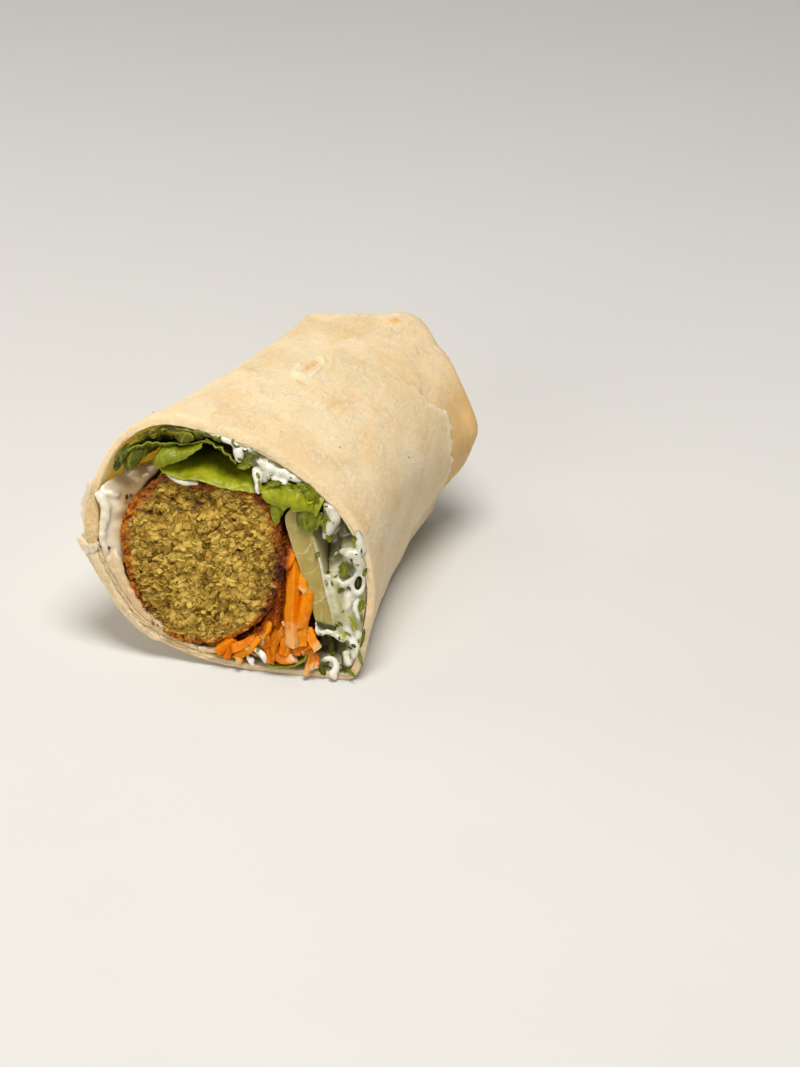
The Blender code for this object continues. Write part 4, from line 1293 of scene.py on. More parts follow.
def carrotFinish():
    finish = Finish("carrot", {
        "Subsurface Weight": 0.4, "Subsurface Scale": 0.0016, "Subsurface Radius": (1.0, 0.35, 0.03),
        "Specular IOR Level": 0.14, "Coat Weight": 0.08, "Coat Roughness": 0.04,
    })
    tone = finish.painted("tone") + finish.shifting(2.2, 0.7)
    film = finish.painted("sauced") + finish.shifting(1.8, 1.0, 4, 0.6)
    pale = finish.painted("cutEnd") * finish.painted("sauced") + finish.shifting(0.9, 0.5)
    # the ramp's dark end paints shade deep in the heap and beside the falafel
    colour = finish.layered(
        finish.ramp(tone, [(0.0, carrot["dark"]), (0.4, carrot["orange"]), (1.0, carrot["light"])]),
        (finish.fade(finish.noise(0.6, 3, 0.6), 0.45, 0.7) * 0.3, carrot["light"]),
        (finish.fade(film, 0.42, 0.9) * 0.8, carrot["sauced"]),
        (finish.fade(pale, 0.15, 0.45) * 0.75, carrot["cutEnd"]),
    )
    relief = finish.noise(0.5, 3, 0.6) + finish.noise(1.6, 2)
    return finish.finished(colour, 0.16 + finish.noise(1.5, 3) * 0.24, relief, 0.16, 0.9)


carrotSurface = carrotFinish()
buildShreds(carrotSurface)
buildHeap(carrotSurface)
print("carrot grated")


# the sauces: pools with uneven surfaces and strokes of blobs over them, fused into one body each
# a pool has an outline (x, z) and places (x, z, depth) its surface passes
# a stroke is a run of (x, z, depth, radius)
sauces = {
    "grain": 0.34,
    "spacing": 0.5,
    "cell": 0.45,
    "smear": {
        "outline": [
            (-34.2, 39.8), (-32.8, 41.6), (-30.4, 43), (-27.4, 44.4), (-24.4, 45.4), (-21.8, 45.6),
            (-22.4, 43.6), (-24.4, 40.8), (-26.2, 37.2), (-27.2, 33.5), (-27.2, 29.4), (-26.4, 25.6),
            (-25.4, 22.6), (-26.4, 22), (-28.6, 23.4), (-30.8, 24.8), (-31.9, 26.4), (-32.1, 30), (-32.3, 34),
            (-33.2, 37.2),
        ],
        "reach": 12,
        "places": [
            (-33.6, 39.4, 0.4), (-31.6, 36.6, 0.2), (-31, 31.5, 0.2), (-31, 26.4, 0.4), (-29.4, 34.8, 0.7),
            (-29.2, 29.6, 0.6), (-28, 25.2, 0.9), (-26.4, 22.8, 1.2), (-27.8, 33, 2.4), (-27.6, 29.6, 1.8),
            (-30.6, 39.8, 2.2), (-28, 38.4, 3.2), (-26.6, 36.8, 4), (-28.6, 42.4, 5), (-25.8, 40.8, 5),
            (-24, 43.6, 6.5),
        ],
        "strokes": [
            [(-28.2, 24, 0.6, 0.9), (-26.6, 21.2, 0.5, 1), (-24.2, 17.8, 0.5, 1), (-21.6, 14.4, 0.5, 1),
             (-18.8, 11.4, 0.6, 0.95), (-16, 9.2, 0.6, 0.9), (-13.2, 7.4, 0.7, 0.7)],
            [(-30, 24.6, 1, 0.9), (-27.6, 20.8, 0.9, 1), (-24.4, 16.4, 0.9, 1), (-20.6, 12, 0.9, 0.9),
             (-17, 9, 1, 0.8)],
            [(-31, 25.2, 1, 0.8), (-28.7, 21.6, 0.9, 0.9), (-25.3, 16.8, 0.9, 0.9), (-21.2, 12.2, 0.9, 0.85),
             (-17.6, 8.9, 1, 0.75)],
            [(-34, 38.8, 0.2, 0.6), (-32.6, 38.6, -0.3, 1.1), (-31.4, 37.2, -0.5, 1.3),
             (-30.8, 35, -0.5, 1.2), (-30.9, 32.4, -0.4, 1.1), (-31.2, 29.6, -0.2, 1), (-31, 27.2, 0, 0.8)],
            [(-32.6, 39.4, 0.5, 0.7), (-31, 39, 0.9, 0.8), (-29.6, 38.2, 1.9, 0.7)],
            [(-26.9, 23.4, 0.7, 0.9), (-25.7, 20.8, 0.6, 0.9)],
            [(-30.9, 35, -0.6, 0.6), (-30.2, 33.9, -0.9, 0.9), (-30.1, 32.9, -0.6, 0.7)],
            [(-27.8, 25.2, 0.2, 0.6), (-26.9, 24, 0.1, 0.8), (-26.6, 22.9, 0.4, 0.6)],
            [(-30.8, 29, 0, 0.7), (-30.6, 27, 0, 0.8), (-29.8, 25.4, 0.2, 0.7)],
            [(-17, 45.1, -0.2, 0.5), (-14.6, 44.3, -0.6, 0.7), (-12, 43.9, -0.7, 0.75),
             (-9.6, 44, -0.6, 0.55)],
            [(-13.6, 6.7, 1, 0.7), (-10.8, 4.9, 1.1, 0.85), (-7.5, 3.9, 1.1, 0.95), (-4, 3.5, 1.1, 0.95),
             (-1, 3.6, 1.2, 0.9), (1.6, 4.1, 1.3, 0.8)],
        ],
    },
    "crown": {
        "outline": [
            (-3, 54.9), (-0.8, 54.7), (3.2, 53), (8.2, 50.5), (13, 48), (16.4, 46), (15.2, 45), (12.6, 45.2),
            (9.5, 45.4), (7.2, 45.2), (5.6, 44.7), (4.2, 46), (2.4, 47.4), (0.6, 48.6), (-0.9, 50),
            (-1.8, 51.6), (-2.8, 53.2),
        ],
        "reach": 12,
        "places": [
            (-1.4, 52.6, 0.5), (0.4, 50.4, 0.9), (3, 51.9, 0.9), (2.6, 49.3, 1.4), (6.4, 49.4, 0.4),
            (8.8, 48.3, 0.5), (11, 47.4, 0.7), (14.2, 46.3, 0.8), (4.8, 47, 0.2), (5.4, 45.6, -0.2),
            (8.5, 46.5, 0.7), (11.2, 45.9, 0.7),
        ],
        "strokes": [
            [(-9.6, 55.6, 0.5, 0.4), (-7.4, 55.2, 0.1, 0.6), (-5, 54.8, -0.1, 0.75), (-2.6, 54, 0.2, 0.9)],
            [(-2.3, 53.8, 0.9, 0.8), (-1.4, 52.9, 0.2, 1.2), (-0.5, 51.6, -0.4, 1.35),
             (0.1, 50.4, -0.3, 0.95)],
            [(0.8, 52.9, 0.8, 1), (2.6, 51.9, 0.9, 1)],
            [(4.2, 50.2, 0.5, 0.9), (6, 49.6, -0.1, 1.1), (8, 48.9, -0.2, 1.15), (9.8, 48, 0.1, 0.9)],
            [(10.6, 48.1, 0.4, 0.9), (12.8, 47, 0.3, 1), (14.8, 46.2, 0.6, 0.7)],
            [(3.6, 48.4, 0.1, 0.8), (4.7, 47.2, -0.6, 1.2), (5.3, 45.9, -1.1, 1), (5.4, 44.5, -1.5, 0.7),
             (5.9, 43.4, -1.6, 0.5)],
            [(6.8, 47.5, 0.2, 0.8), (8.4, 46.6, -0.2, 0.9), (9.8, 46.2, -0.3, 0.75),
             (11.6, 45.7, -0.3, 0.65)],
        ],
    },
    "lane": {
        "outline": [
            (20.7, 41.9), (22.6, 42.7), (24.8, 41.6), (27.6, 39.2), (30.4, 36.2), (32.5, 31.8), (33.9, 26),
            (34.4, 20), (34.5, 14), (34.5, 9), (34.2, 5), (32.8, 2.8), (29.5, 1.7), (25, 1.7), (18, 1.8),
            (12, 2.1), (8, 2.6), (7, 4.2), (12, 5.4), (18, 5.6), (22.6, 5.6), (23, 8.4), (22.8, 11.2),
            (22.9, 13.8), (25.5, 13.2), (27.9, 12.8), (26.7, 16), (24.7, 21.6), (22.8, 27.6), (20.8, 33),
            (20.9, 36), (20.3, 39.2),
        ],
        "reach": 16,
        "places": [
            (23, 41.2, 0.6), (24, 38.6, 0), (23.2, 35.6, 0), (26.6, 37.4, 3), (26.8, 34, 3.8),
            (29.6, 36.2, 1.2), (31.2, 33.6, 0.3), (22, 32.4, 6), (23.4, 30, 6.5), (24.6, 29, 5),
            (24, 26.8, 2.6), (25, 24.4, 0.4), (28.2, 30.8, 0.4), (30.4, 30, 0), (31.6, 28, 0),
            (28, 26.8, 1.4), (30, 26, 0.8), (27.4, 23.2, -0.1), (31.6, 23.5, 2.4), (25.6, 21.6, -0.8),
            (26.8, 18.6, -1), (27.9, 15, -1), (28.6, 20, -0.4), (29.4, 17, -0.6), (29.2, 13.4, -0.7),
            (31, 18, 0.4), (31.2, 13, 0.2), (33.2, 20, 0.5), (33.6, 12, 0.2), (33.8, 6, 0.1), (24, 11.2, 0.2),
            (25.8, 11.8, -0.2), (25.6, 9.4, 5), (27.6, 9, 6), (26, 7, 5), (28.6, 6.8, 4.4), (29.4, 8.2, 3),
            (26.5, 3.4, 1.6), (29, 2.4, 0.4), (31.5, 5.5, 0.7), (31.6, 9, 0.2), (22, 3.2, 1.6),
            (16, 3.4, 1.4), (10, 3.6, 1.2), (30, 4.6, 1.2),
        ],
        "strokes": [
            [(21.4, 41.4, 0.6, 0.9), (22.8, 40.4, 0.1, 1.4), (24, 38.8, -0.2, 1.6), (23.8, 37, -0.4, 1.4),
             (23, 35.2, -0.6, 1.1), (22.5, 34.2, -0.6, 0.8)],
            [(29.2, 36, 1.2, 1), (30.6, 34, 0.2, 1.2), (31.6, 31.6, -0.2, 1.2)],
            [(20.4, 32.2, -0.8, 0.35), (22.6, 27.2, -0.9, 0.5), (24.5, 21.6, -1, 0.55), (26.1, 17.2, -1, 0.5),
             (27.2, 13.6, -0.9, 0.4)],
            [(24.6, 24.8, -0.5, 0.8), (26.2, 21, -0.7, 0.9), (27.8, 16.6, -0.8, 0.9)],
            [(26.9, 30.8, 0.2, 1), (28.4, 31, -0.5, 1.4), (30.2, 30.4, -0.8, 1.5), (31.3, 28.8, -0.7, 1.3),
             (31.6, 27.2, -0.4, 1)],
            [(28.8, 29.8, 0.2, 1), (29.7, 28.2, 0.5, 0.9)],
            [(26.7, 23.8, 0.2, 0.8), (28, 23.2, -0.3, 1), (29.4, 23.7, -0.3, 0.9), (30.3, 24.6, -0.1, 0.7)],
            [(31, 25.8, 0, 0.6), (30.4, 24, -0.2, 0.65), (30.7, 22.2, -0.3, 0.65), (31.8, 21.3, -0.2, 0.65),
             (32.9, 22.4, 0, 0.65), (33.1, 24.4, 0, 0.65), (32.3, 25.9, 0, 0.65), (31, 25.8, 0, 0.6)],
            [(29.6, 20.6, 0.2, 0.8), (29.9, 18.6, 0, 0.8), (29.7, 16.8, 0, 0.7)],
            [(28.6, 16.2, 0, 0.8), (28.9, 13.6, -0.3, 0.9)],
            [(32.2, 19.4, 0.2, 0.8), (32, 17.6, 0, 0.8), (32.9, 15.4, 0, 0.8)],
            [(30.6, 12.6, 0, 0.8), (31.6, 10.8, -0.3, 1), (32.8, 8.6, -0.4, 1.2), (33.2, 6.4, -0.2, 1.1)],
            [(23.1, 13.6, -0.4, 0.5), (23.3, 11.8, -0.6, 0.55), (24.2, 10.9, -0.6, 0.6),
             (25.7, 11.6, -0.7, 0.65), (27.4, 11.2, -0.6, 0.75), (29.8, 10, -0.5, 0.9)],
            [(25.1, 3.9, 0.6, 0.6), (26.8, 4.9, 0, 0.85), (28.4, 4.8, -0.4, 0.9), (29.2, 3.3, -0.8, 0.95),
             (28.6, 1.9, -1.2, 1.1), (29.1, 1.3, -1.4, 0.8)],
            [(31.8, 4.6, -0.1, 1.1), (31, 6.4, 0.3, 1)],
            [(6.2, 5.4, -0.9, 0.5), (8.2, 6.2, -1.2, 0.75), (10.4, 5.7, -1.6, 0.85), (11.9, 4.6, -1.8, 0.85),
             (12.3, 3.4, -1.5, 0.65)],
            [(7.7, 3.7, -0.6, 0.5), (8.6, 2.8, -1.1, 0.55), (9.3, 2.1, -1.3, 0.55), (9, 3.4, -0.9, 0.55)],
        ],
    },
    "white": (0.83, 0.76, 0.60),
    "dull": (0.92, 0.90, 0.80),
    "shaded": (0.42, 0.40, 0.27),
    # the sauce's own murk, and partly painted shade in the low places
    "milky": (0.30, 0.29, 0.14),
    "film": (0.42, 0.38, 0.12),
    "herby": (0.20, 0.21, 0.06),
    # the cream of the smear and its lining, painted darker as shade towards the falafel
    "creamy": (0.72, 0.51, 0.27),
    "fleck": (0.16, 0.18, 0.03),
    # painted shade in the recesses, for the smear and for the herb sauces
    "shadesInRecesses": [(0.62, 0.41, 0.18), (0.10, 0.09, 0.014)],
}


def meshPoints(mesh, kind="co"):
    flat = np.empty(len(mesh.vertices) * 3, np.float32)
    mesh.vertices.foreach_get(kind, flat)
    return flat.reshape(-1, 3).astype(float)


def poolBody(pool, seed):
    # a body with the pool's surface in front and a flat back
    outline = curveThrough(pool["outline"], 260, closed=True)
    cell = sauces["cell"]
    x, z = np.meshgrid(*(np.arange(side.min() - cell, side.max() + cell, cell) for side in outline.T))
    places = np.array(pool["places"])
    away = np.hypot(x[..., None] - places[:, 0], z[..., None] - places[:, 1])
    pull = bell(away, 0, 1.3) + 1e-3 / (away + 0.3) ** 3
    depth = (pull * places[:, 2]).sum(-1) / pull.sum(-1)
    rim = np.min(np.hypot(x[..., None] - outline[::2, 0], z[..., None] - outline[::2, 1]), -1)
    flat = stacked(x, z, 0)
    depth += 0.5 * (1 - smoothStep(rim, 0.0, 0.9))
    depth += 0.25 * softNoise(flat, 2.6, seed) + 0.1 * softNoise(flat, 1.1, seed + 0.5)
    points = np.concatenate([insideWrap(x, z, depth), insideWrap(x, z, pool["reach"])]).reshape(-1, 3)
    kept = withinOutline(outline, x, z).ravel()
    faces = [face for face in gridFaces(*x.shape) if kept[face].all()]
    edges = [edge for face in faces for edge in zip(face, face[1:] + face[:1])]
    paired = set(edges)
    sides = [[b, a, a + x.size, b + x.size] for a, b in edges if (b, a) not in paired]
    return points, faces + [[corner + x.size for corner in face[::-1]] for face in faces] + sides


def fused(pool, seed):
    # the pool and its strokes as one closed surface: its points, normals and faces
    chance = random.Random(seed)
    points, faces = poolBody(pool, seed)
    shape = bmesh.new()
    used = sorted({corner for face in faces for corner in face})
    verts = {corner: shape.verts.new(points[corner] * mm) for corner in used}
    for face in faces:
        shape.faces.new([verts[corner] for corner in face])
    for stroke in pool["strokes"]:
        length = sum(math.dist(a[:3], b[:3]) for a, b in zip(stroke, stroke[1:]))
        mean = sum(point[3] for point in stroke) / len(stroke)
        samples = max(3, int(length / (mean * sauces["spacing"])))
        for x, z, depth, radius in curveThrough(stroke, samples):
            size = radius * chance.uniform(0.9, 1.12)
            place = Vector(insideWrap(x, z, depth)) + Vector([chance.gauss(0, 0.08 * size) for _ in range(3)])
            squash = Matrix.Diagonal((1, chance.uniform(0.8, 1.1), chance.uniform(0.85, 1.1), 1))
            blob = Matrix.Translation(place * mm) @ squash @ Matrix.Scale(size * mm, 4)
            bmesh.ops.create_icosphere(shape, subdivisions=2, radius=1, matrix=blob)
    mesh = bpy.data.meshes.new("strokes")
    shape.to_mesh(mesh)
    shape.free()
    lump = bpy.data.objects.new("strokes", mesh)
    bpy.context.scene.collection.objects.link(lump)
    fuse = lump.modifiers.new("fuse", "REMESH")
    fuse.mode = "VOXEL"
    fuse.voxel_size = sauces["grain"] * mm
    soften = lump.modifiers.new("soften", "SMOOTH")
    soften.factor = 0.5
    soften.iterations = 9
    result = lump.evaluated_get(bpy.context.evaluated_depsgraph_get()).to_mesh()
    points, normals = meshPoints(result) / mm, meshPoints(result, "normal")
    faces = [list(polygon.vertices) for polygon in result.polygons]
    bpy.data.objects.remove(lump)
    return points, normals, faces


def buildSauce(name, node, pool, finish, seed, herby):
    points, normals, faces = fused(pool, seed)
    x, y, z = points.T
    depth = y - cutY(x, z)
    swell = 0.14 * softNoise(points, 2.3, seed) + 0.04 * softNoise(points, 1.0, seed + 0.5)
    points = points + normals * swell[:, None]
    # a thin film beside the cucumber, a murky look in the lower places that is partly painted shade, and the
    # smear's creamy side, painted darker as shade towards the falafel
    thin = bell(x - 0.2 * (18 - z), 27.2, 2.5) * bell(z, 17.5, 8) * herby
    film = np.clip(1.2 * thin + 0.3 * softNoise(points, 2.0, seed + 3), 0, 1)
    # partly painted shade: the low places turn murky
    low = 1 - smoothStep(-depth, -0.2, 0.6)
    murkyAndShade = 0.95 * low * smoothStep(softNoise(points, 2.4, seed + 2), -0.5, 0.1)
    creamy = np.clip(smoothStep(z, 27.5, 22.5) + smoothStep(x, -30.4, -27.0) * smoothStep(z, 24, 30), 0, 1)
    looks = {
        "creamy": (1 - herby) * (creamy * smoothStep(x, -18, -22) + smoothStep(z, 20, 15)),
        "milky": np.clip(murkyAndShade + 0.25 * softNoise(points, 2.5, seed + 1), 0, 1) * herby,
        "film": film * (1 - 0.3 * smoothStep(-depth, 0.9, 1.5)),
        # painted shade in the recesses
        "recess": smoothStep(depth, 0.7, 3.2),
        "shaded": herby * smoothStep(x + 0.6 * z, 30, 36) * (0.1 + 0.4 * smoothStep(z, 20, 36)) * (z < 43),
        "herby": herby,
    }
    return makePiece(name, node, [(points, faces, looks)], finish)


def sauceFinish():
    finish = Finish("sauce", {
        "Subsurface Weight": 0.45, "Subsurface Scale": 0.002, "Subsurface Radius": (1.0, 0.85, 0.6),
        "Specular IOR Level": 0.5, "Coat Weight": 0.5, "Coat Roughness": 0.05,
    })
    herby = finish.painted("herby")
    cloud = finish.fade(finish.noise(3.2, 4, 0.6), 0.46, 0.68) * herby
    under = finish.fade(finish.noise(1.9, 3, 0.6, (1, 1, 0.6)), 0.58, 0.7) * herby
    flecks = finish.fade(finish.noise(0.7, 2), 0.70, 0.76) * herby
    colour = finish.layered(
        finish.mix(herby, sauces["white"], sauces["dull"]),
        (finish.painted("shaded"), sauces["shaded"]),
        # the low places' murk, partly painted shade
        (finish.painted("milky") * 0.9, sauces["milky"]),
        (cloud * 0.3, sauces["milky"]),
        (under * 0.45, sauces["herby"]),
        (finish.painted("film") * 0.85, sauces["film"]),
        # the smear's cream, partly painted shade towards the falafel
        (finish.painted("creamy") * 0.85, sauces["creamy"]),
        (flecks * 0.5, sauces["fleck"]),
        # painted shade in the recesses
        (finish.painted("recess") * 0.8, finish.mix(herby, *sauces["shadesInRecesses"])),
    )
    return finish.finished(colour, 0.16 + finish.noise(2, 3) * 0.2, finish.noise(0.8, 3, 0.55), 0.09, 0.6)


sauceSurface = sauceFinish()
saucePieces = {}
for name, key, node, seed, herby in (
    ("sauceSmear", "smear", "yogurt_sauce", 81, 0),
    ("sauceCrown", "crown", "herb_sauce_top", 82, 1),
    ("sauceLane", "lane", "herb_sauce", 83, 1),
):
    saucePieces[key] = buildSauce(name, node, sauces[key], sauceSurface, seed, herby)
    print("spread", name, len(saucePieces[key].data.polygons), "faces")


# herbs: chopped leaves on the sauces, and a curled leaf under the carrot
# a leaf is (x, z, depth, length, width, angle, bend, brightness), and a sliver the same as far as its angle
# the leaves that lie deep get a low brightness as painted shade
herbs = {
    "leaves": [
        (28, 26.7, -0.2, 4, 2.6, 80, 0.1, 0.42), (31.6, 14.8, -1, 4.6, 1.5, 80, 0.5, 0.95),
        (30, 11.2, -0.9, 2.6, 0.9, 110, 0.3, 0.95), (33.2, 18.8, -0.6, 3.4, 1.6, 100, 0.3, 0.5),
        (34.5, 11.4, -0.9, 5.6, 0.8, 102, 0.2, 0.35), (34.3, 6.8, -0.9, 5, 0.8, 66, 0.3, 0.5),
        (32.3, 3, -1, 4.2, 0.9, 38, 0.3, 0.5), (25.6, 9.4, 3, 4, 2.2, 60, 0.3, 0.12),
        (27.6, 9.2, 3.4, 3.8, 2, 110, 0.3, 0.1), (26.9, 7.4, 2.2, 4.2, 1.6, 80, 0.3, 0.2),
        (25.9, 2.6, -0.8, 3.2, 1.7, 60, 0.2, 0.3), (27.6, 5.4, 0.4, 3.4, 1.2, 120, 0.4, 0.35),
        (30, 33.4, -0.9, 3.6, 0.7, 60, 0.7, 0.85), (22.1, 37.7, -1.6, 2, 0.6, 115, 0.2, 0.3),
        (29.6, 34.6, -0.4, 1.8, 0.7, 30, 0.2, 0.3), (1.6, 49.3, -0.9, 3.6, 1.7, -15, 0.2, 0.5),
        (2.2, 50.8, -0.6, 2.6, 1.2, -30, 0.2, 0.4), (3.8, 51.6, -0.4, 1.8, 1.1, 20, 0.2, 0.3),
        (1.4, 52.4, -0.4, 1.6, 0.8, -60, 0.2, 0.35), (6.2, 45.5, -1.9, 2.8, 0.8, 75, 0.2, 0.7),
        (9.2, 45.9, -1, 4, 1.5, -12, 0.2, 0.45), (12.4, 45.2, -0.9, 3.4, 1.1, -20, 0.3, 0.5),
        (16.2, 44.9, -1, 3.6, 1.2, -40, 0.4, 0.6), (18.4, 43, -1.6, 2.2, 1.6, -50, 0.2, 1),
        (19.8, 42.2, -1.2, 2.6, 1.2, -60, 0.3, 0.45), (27.2, 35.8, 2, 2.6, 1.2, 70, 0.3, 0.2),
        (26.2, 37.6, 1.8, 1.8, 0.8, 20, 0.3, 0.25), (28, 22, -0.6, 2.2, 1, 15, 0.3, 0.35),
        (24.3, 25, 1.2, 1.8, 0.7, 70, 0.3, 0.4), (25.2, 22.2, -0.3, 1.8, 0.7, 40, 0.3, 0.5),
        (31.6, 23.4, 0.9, 2.8, 1.6, 95, 0.3, 0.1), (33, 27, -0.9, 2.2, 0.9, 110, 0.3, 0.3),
        (28.8, 14.2, -1.2, 1.6, 0.6, 30, 0.2, 0.3), (32.6, 9.4, -1.5, 1.3, 0.8, 20, 0.2, 0.1),
    ],
    "slivers": [
        (31, 3.9, -1.7, 2.6, 0.32, 50), (30.4, 5.4, -1.3, 3, 0.3, 80), (30.9, 3.6, -1.6, 2.2, 0.25, 65),
        (31.8, 8.8, -1.6, 1.2, 0.5, 30), (27.8, 7, 0.8, 3.6, 0.35, 95), (29.2, 7.4, 0.6, 2.4, 0.3, 60),
        (8.2, 47.7, -1.3, 1, 0.25, -20), (-0.3, 52.6, -1.4, 1.3, 0.3, -30), (21.6, 38.9, -1.6, 1.6, 0.3, 110),
        (29.6, 30, -2.3, 0.7, 0.4, 0), (30.6, 31.4, -2.1, 0.6, 0.35, 40), (29.9, 28, -1, 1.2, 0.3, 70),
    ],
    "chips": {"lane": 36, "crown": 16},
    "curl": (
        [(12.4, 4.4, -1.6), (12.9, 3.2, -1.9), (14.2, 2.5, -2), (16.2, 2.4, -2), (18.5, 2.9, -2),
         (20.5, 3.7, -1.9), (21.7, 5, -1.7), (21.9, 6.4, -1.4)],
        [(12.6, 4.6, 0.4), (13.1, 3.5, 0.4), (14.3, 2.9, 0.4), (16.2, 2.8, 0.4), (18.5, 3.2, 0.4),
         (20.3, 4, 0.4), (21.4, 5.2, 0.4), (21.6, 6.6, 0.4)],
        [(12.8, 5, 4), (13.4, 4, 4), (14.5, 3.4, 4), (16.2, 3.2, 4), (18.5, 3.6, 4), (20.1, 4.4, 4),
         (21.2, 5.4, 4), (21.4, 6.8, 4)],
        0.12, 3, 0.6,
    ),
    "thickness": 0.14,
    "seed": 5,
}


def flake(centre, facing, along, length, width, bend, bright):
    # a small pointed leaf
    along = unit(along - facing * along.dot(facing))
    across = np.cross(along, facing)
    u, v = np.meshgrid(np.linspace(-1, 1, 13), np.linspace(-1, 1, 7), indexing="ij")
    half = width / 2 * np.clip(1 - np.abs(u) ** 2.4, 0.04, 1) * (1 + 0.18 * np.sin(u * 9 + width * 31))
    rise = bend * length / 2 * (u**2 - 0.4) + 0.2 * width * (v**2 - 0.3) + 0.06 * np.sin(u * 7 + v * 3)
    moved = (u * length / 2)[..., None] * along + (v * half)[..., None] * across + rise[..., None] * facing
    looks = {"bright": bright, "vein": bell(v, 0, 0.12), "edge": 0, "reach": 0}
    return centre + moved, gridFaces(*u.shape), looks


def buildHerbs(finish):
    chance = random.Random(herbs["seed"])
    front = np.array(cutNormal)
    level = np.array((1, turnSlope, 0)) / math.hypot(1, turnSlope)
    upright = np.cross(front, level)
    parts = []

    def askew(direction, amount):
        return unit(direction + amount * np.array([chance.gauss(0, 1) for _ in range(3)]))

    lying = [((x, z, depth - 0.2), 0.22, *leaf) for x, z, depth, *leaf in herbs["leaves"]]
    lying += [((x, z, depth), 0.2, *sliver, 0.1, 0.15) for x, z, depth, *sliver in herbs["slivers"]]
    for place, tilt, length, width, angle, bend, bright in lying:
        along = math.cos(math.radians(angle)) * level - math.sin(math.radians(angle)) * upright
        parts.append(flake(insideWrap(*place), askew(front, tilt), along, length, width, bend, bright))
    for key, count in herbs["chips"].items():
        mesh = saucePieces[key].data
        points, normals = meshPoints(mesh) / mm, meshPoints(mesh, "normal")
        depth = points[:, 1] - cutY(points[:, 0], points[:, 2])
        usable = np.flatnonzero((depth < 2.2) & (normals @ front > 0.3))
        for _ in range(count):
            place = usable[chance.randrange(len(usable))]
            along = np.array([chance.gauss(0, 1) for _ in range(3)])
            length = chance.uniform(0.6, 2.0)
            width = length * chance.uniform(0.25, 0.7)
            facing = askew(normals[place], 0.18)
            bend, bright = chance.uniform(-0.2, 0.3), chance.uniform(0.25, 0.75)
            centre = points[place] + normals[place] * 0.03
            parts.append(flake(centre, facing, along, length, width, bend, bright))
    makePiece("herbLeaves", "herb_sauce", parts, finish, thickness=herbs["thickness"])


buildHerbs(lettuceSurface)
buildLeaves("curledLeaf", "herb_sauce", [herbs["curl"]], lettuceSurface)
print("herbs chopped")


# dark specks on the flatbread (x, y, z), and falafel crumbs on the smear (x, z, depth, size)
specks = {
    "onBread": [(-24, -36, 56.6), (6.3, -27.7, 53.9), (17.9, -19, 48), (27.6, 1.1, 37.8)],
    "onBreadSize": 0.34,
    "onSmear": [(-27.4, 38, 2.6, 0.95), (-26.6, 38.3, 2.9, 0.6), (-29, 26.3, 0.3, 0.8)],
    "turnAxis": (0.3, 0.5, 0.8),
    "stretch": (1.2, 0.8, 0.55),
    "browns": [(0.05, 0.018, 0.004), (0.16, 0.075, 0.015)],
    "seed": 3,
}


def buildSpecks(name, node, places, finish):
    chance = random.Random(specks["seed"])
    parts = []
    for centre, size in places:
        points, triangles = splinter(chance)
        turn = np.array(Matrix.Rotation(chance.uniform(0, 6.3), 3, Vector(specks["turnAxis"])))
        parts.append(((points * specks["stretch"] * size) @ turn.T + centre, triangles, {}))
    makePiece(name, node, parts, finish, smooth=False)


def speckFinish():
    finish = Finish("speck", {"Specular IOR Level": 0.4})
    colour = finish.mix(finish.noise(0.4, 3), *specks["browns"])
    return finish.finished(colour, 0.35 + finish.noise(0.5, 2) * 0.2)


sheetPoints = meshPoints(sheetPiece.data) / mm
onBread = [sheetPoints[np.linalg.norm(sheetPoints - place, axis=1).argmin()] for place in specks["onBread"]]
speckSurface = speckFinish()
buildSpecks("breadSpecks", "tortilla", [(place, specks["onBreadSize"]) for place in onBread], speckSurface)
onSmear = [(insideWrap(x, z, depth - 0.5), size) for x, z, depth, size in specks["onSmear"]]
buildSpecks("smearCrumbs", "yogurt_sauce", onSmear, speckSurface)
print("specks scattered")


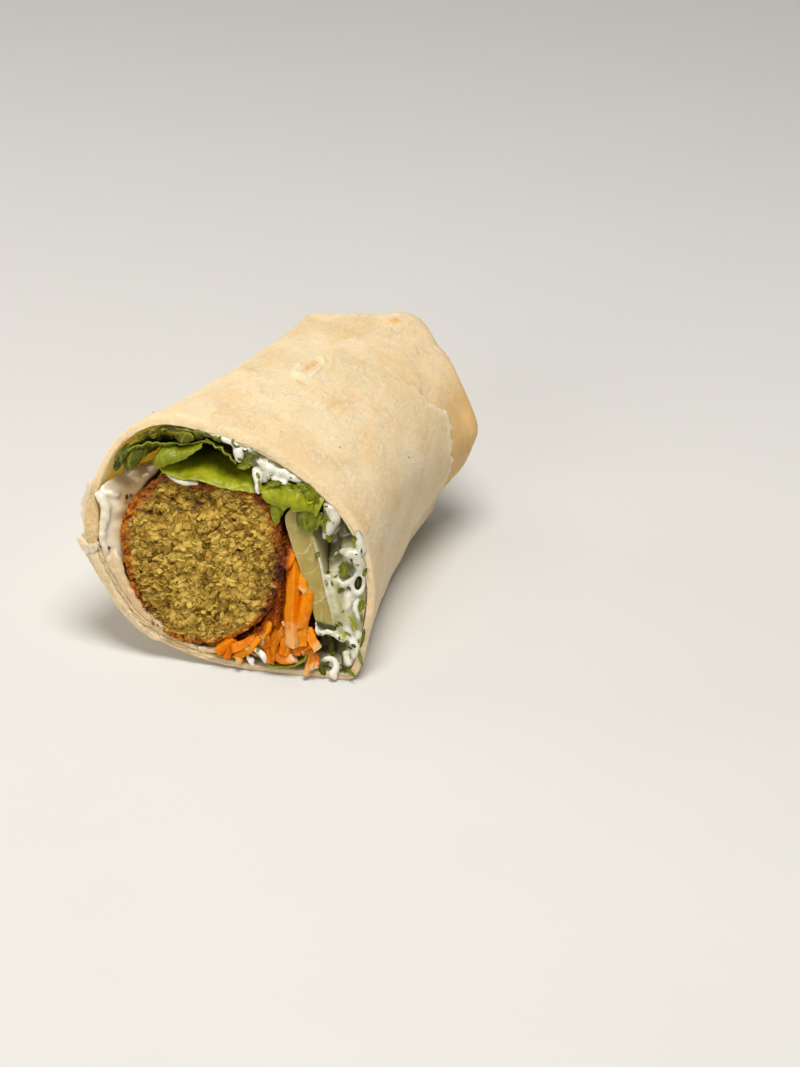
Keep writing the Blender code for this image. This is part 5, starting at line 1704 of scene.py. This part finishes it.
# floor, light and camera, in metres
# a light is its place, size, power and colour
setting = {
    "floor": (0.72, 0.72, 0.715),
    "floorHalf": 3.0,
    "lights": {
        "keyLight": ((0.09, -0.14, 0.77), 0.42, 5.4, (1.0, 0.955, 0.88)),
        "fillLight": ((-0.15, -0.90, 0.38), 0.5, 2.0, (1.0, 0.965, 0.91)),
        "sideLight": ((-0.62, -0.03, 0.14), 0.3, 1.3, (1.0, 0.95, 0.86)),
    },
    "lightsAimAt": (0, 0, 0.025),
    "sky": (1.0, 0.99, 0.97),
    "skyStrength": 0.26,
    "cameraPlace": (0.3025, -0.6764, 0.4288),
    "cameraAxis": (-0.32898, 0.8061, -0.49192),
    "cameraUp": (-0.20028, 0.4495, 0.87054),
    "lens": 111.34,
}


def buildFloor():
    mesh = bpy.data.meshes.new("floor")
    half = setting["floorHalf"]
    corners = [(-half, -half, 0), (half, -half, 0), (half, half, 0), (-half, half, 0)]
    mesh.from_pydata(corners, [], [(0, 1, 2, 3)])
    finish = Finish("floor", {"Roughness": 0.6, "Specular IOR Level": 0.2})
    shade = finish.mix(finish.noise(40, 3), setting["floor"], tuple(0.97 * c for c in setting["floor"]))
    mesh.materials.append(finish.finished(shade, None))
    floor = bpy.data.objects.new("floor", mesh)
    bpy.context.scene.collection.objects.link(floor)


def buildLights():
    for name, (place, size, power, colour) in setting["lights"].items():
        lamp = bpy.data.lights.new(name, "AREA")
        lamp.color = colour
        lamp.shape = "DISK"
        lamp.size = size
        lamp.energy = power
        light = bpy.data.objects.new(name, lamp)
        light.location = place
        aim = Vector(setting["lightsAimAt"]) - Vector(place)
        light.rotation_euler = aim.to_track_quat("-Z", "Y").to_euler()
        bpy.context.scene.collection.objects.link(light)
    world = bpy.data.worlds.new("studio")
    world.use_nodes = True
    sky = world.node_tree.nodes["Background"].inputs
    sky["Color"].default_value = (*setting["sky"], 1)
    sky["Strength"].default_value = setting["skyStrength"]
    bpy.context.scene.world = world


def buildCamera():
    camera = bpy.data.cameras.new("camera")
    camera.sensor_fit = "VERTICAL"
    camera.sensor_height = 36
    camera.lens = setting["lens"]
    camera.clip_start = 0.01
    view = bpy.data.objects.new("camera", camera)
    back = -Vector(setting["cameraAxis"]).normalized()
    right = Vector(setting["cameraUp"]).cross(back).normalized()
    turn = Matrix((right, back.cross(right), back)).transposed()
    view.matrix_world = Matrix.Translation(Vector(setting["cameraPlace"])) @ turn.to_4x4()
    bpy.context.scene.collection.objects.link(view)
    bpy.context.scene.camera = view


buildFloor()
buildLights()
buildCamera()
print("floor, light and camera set")
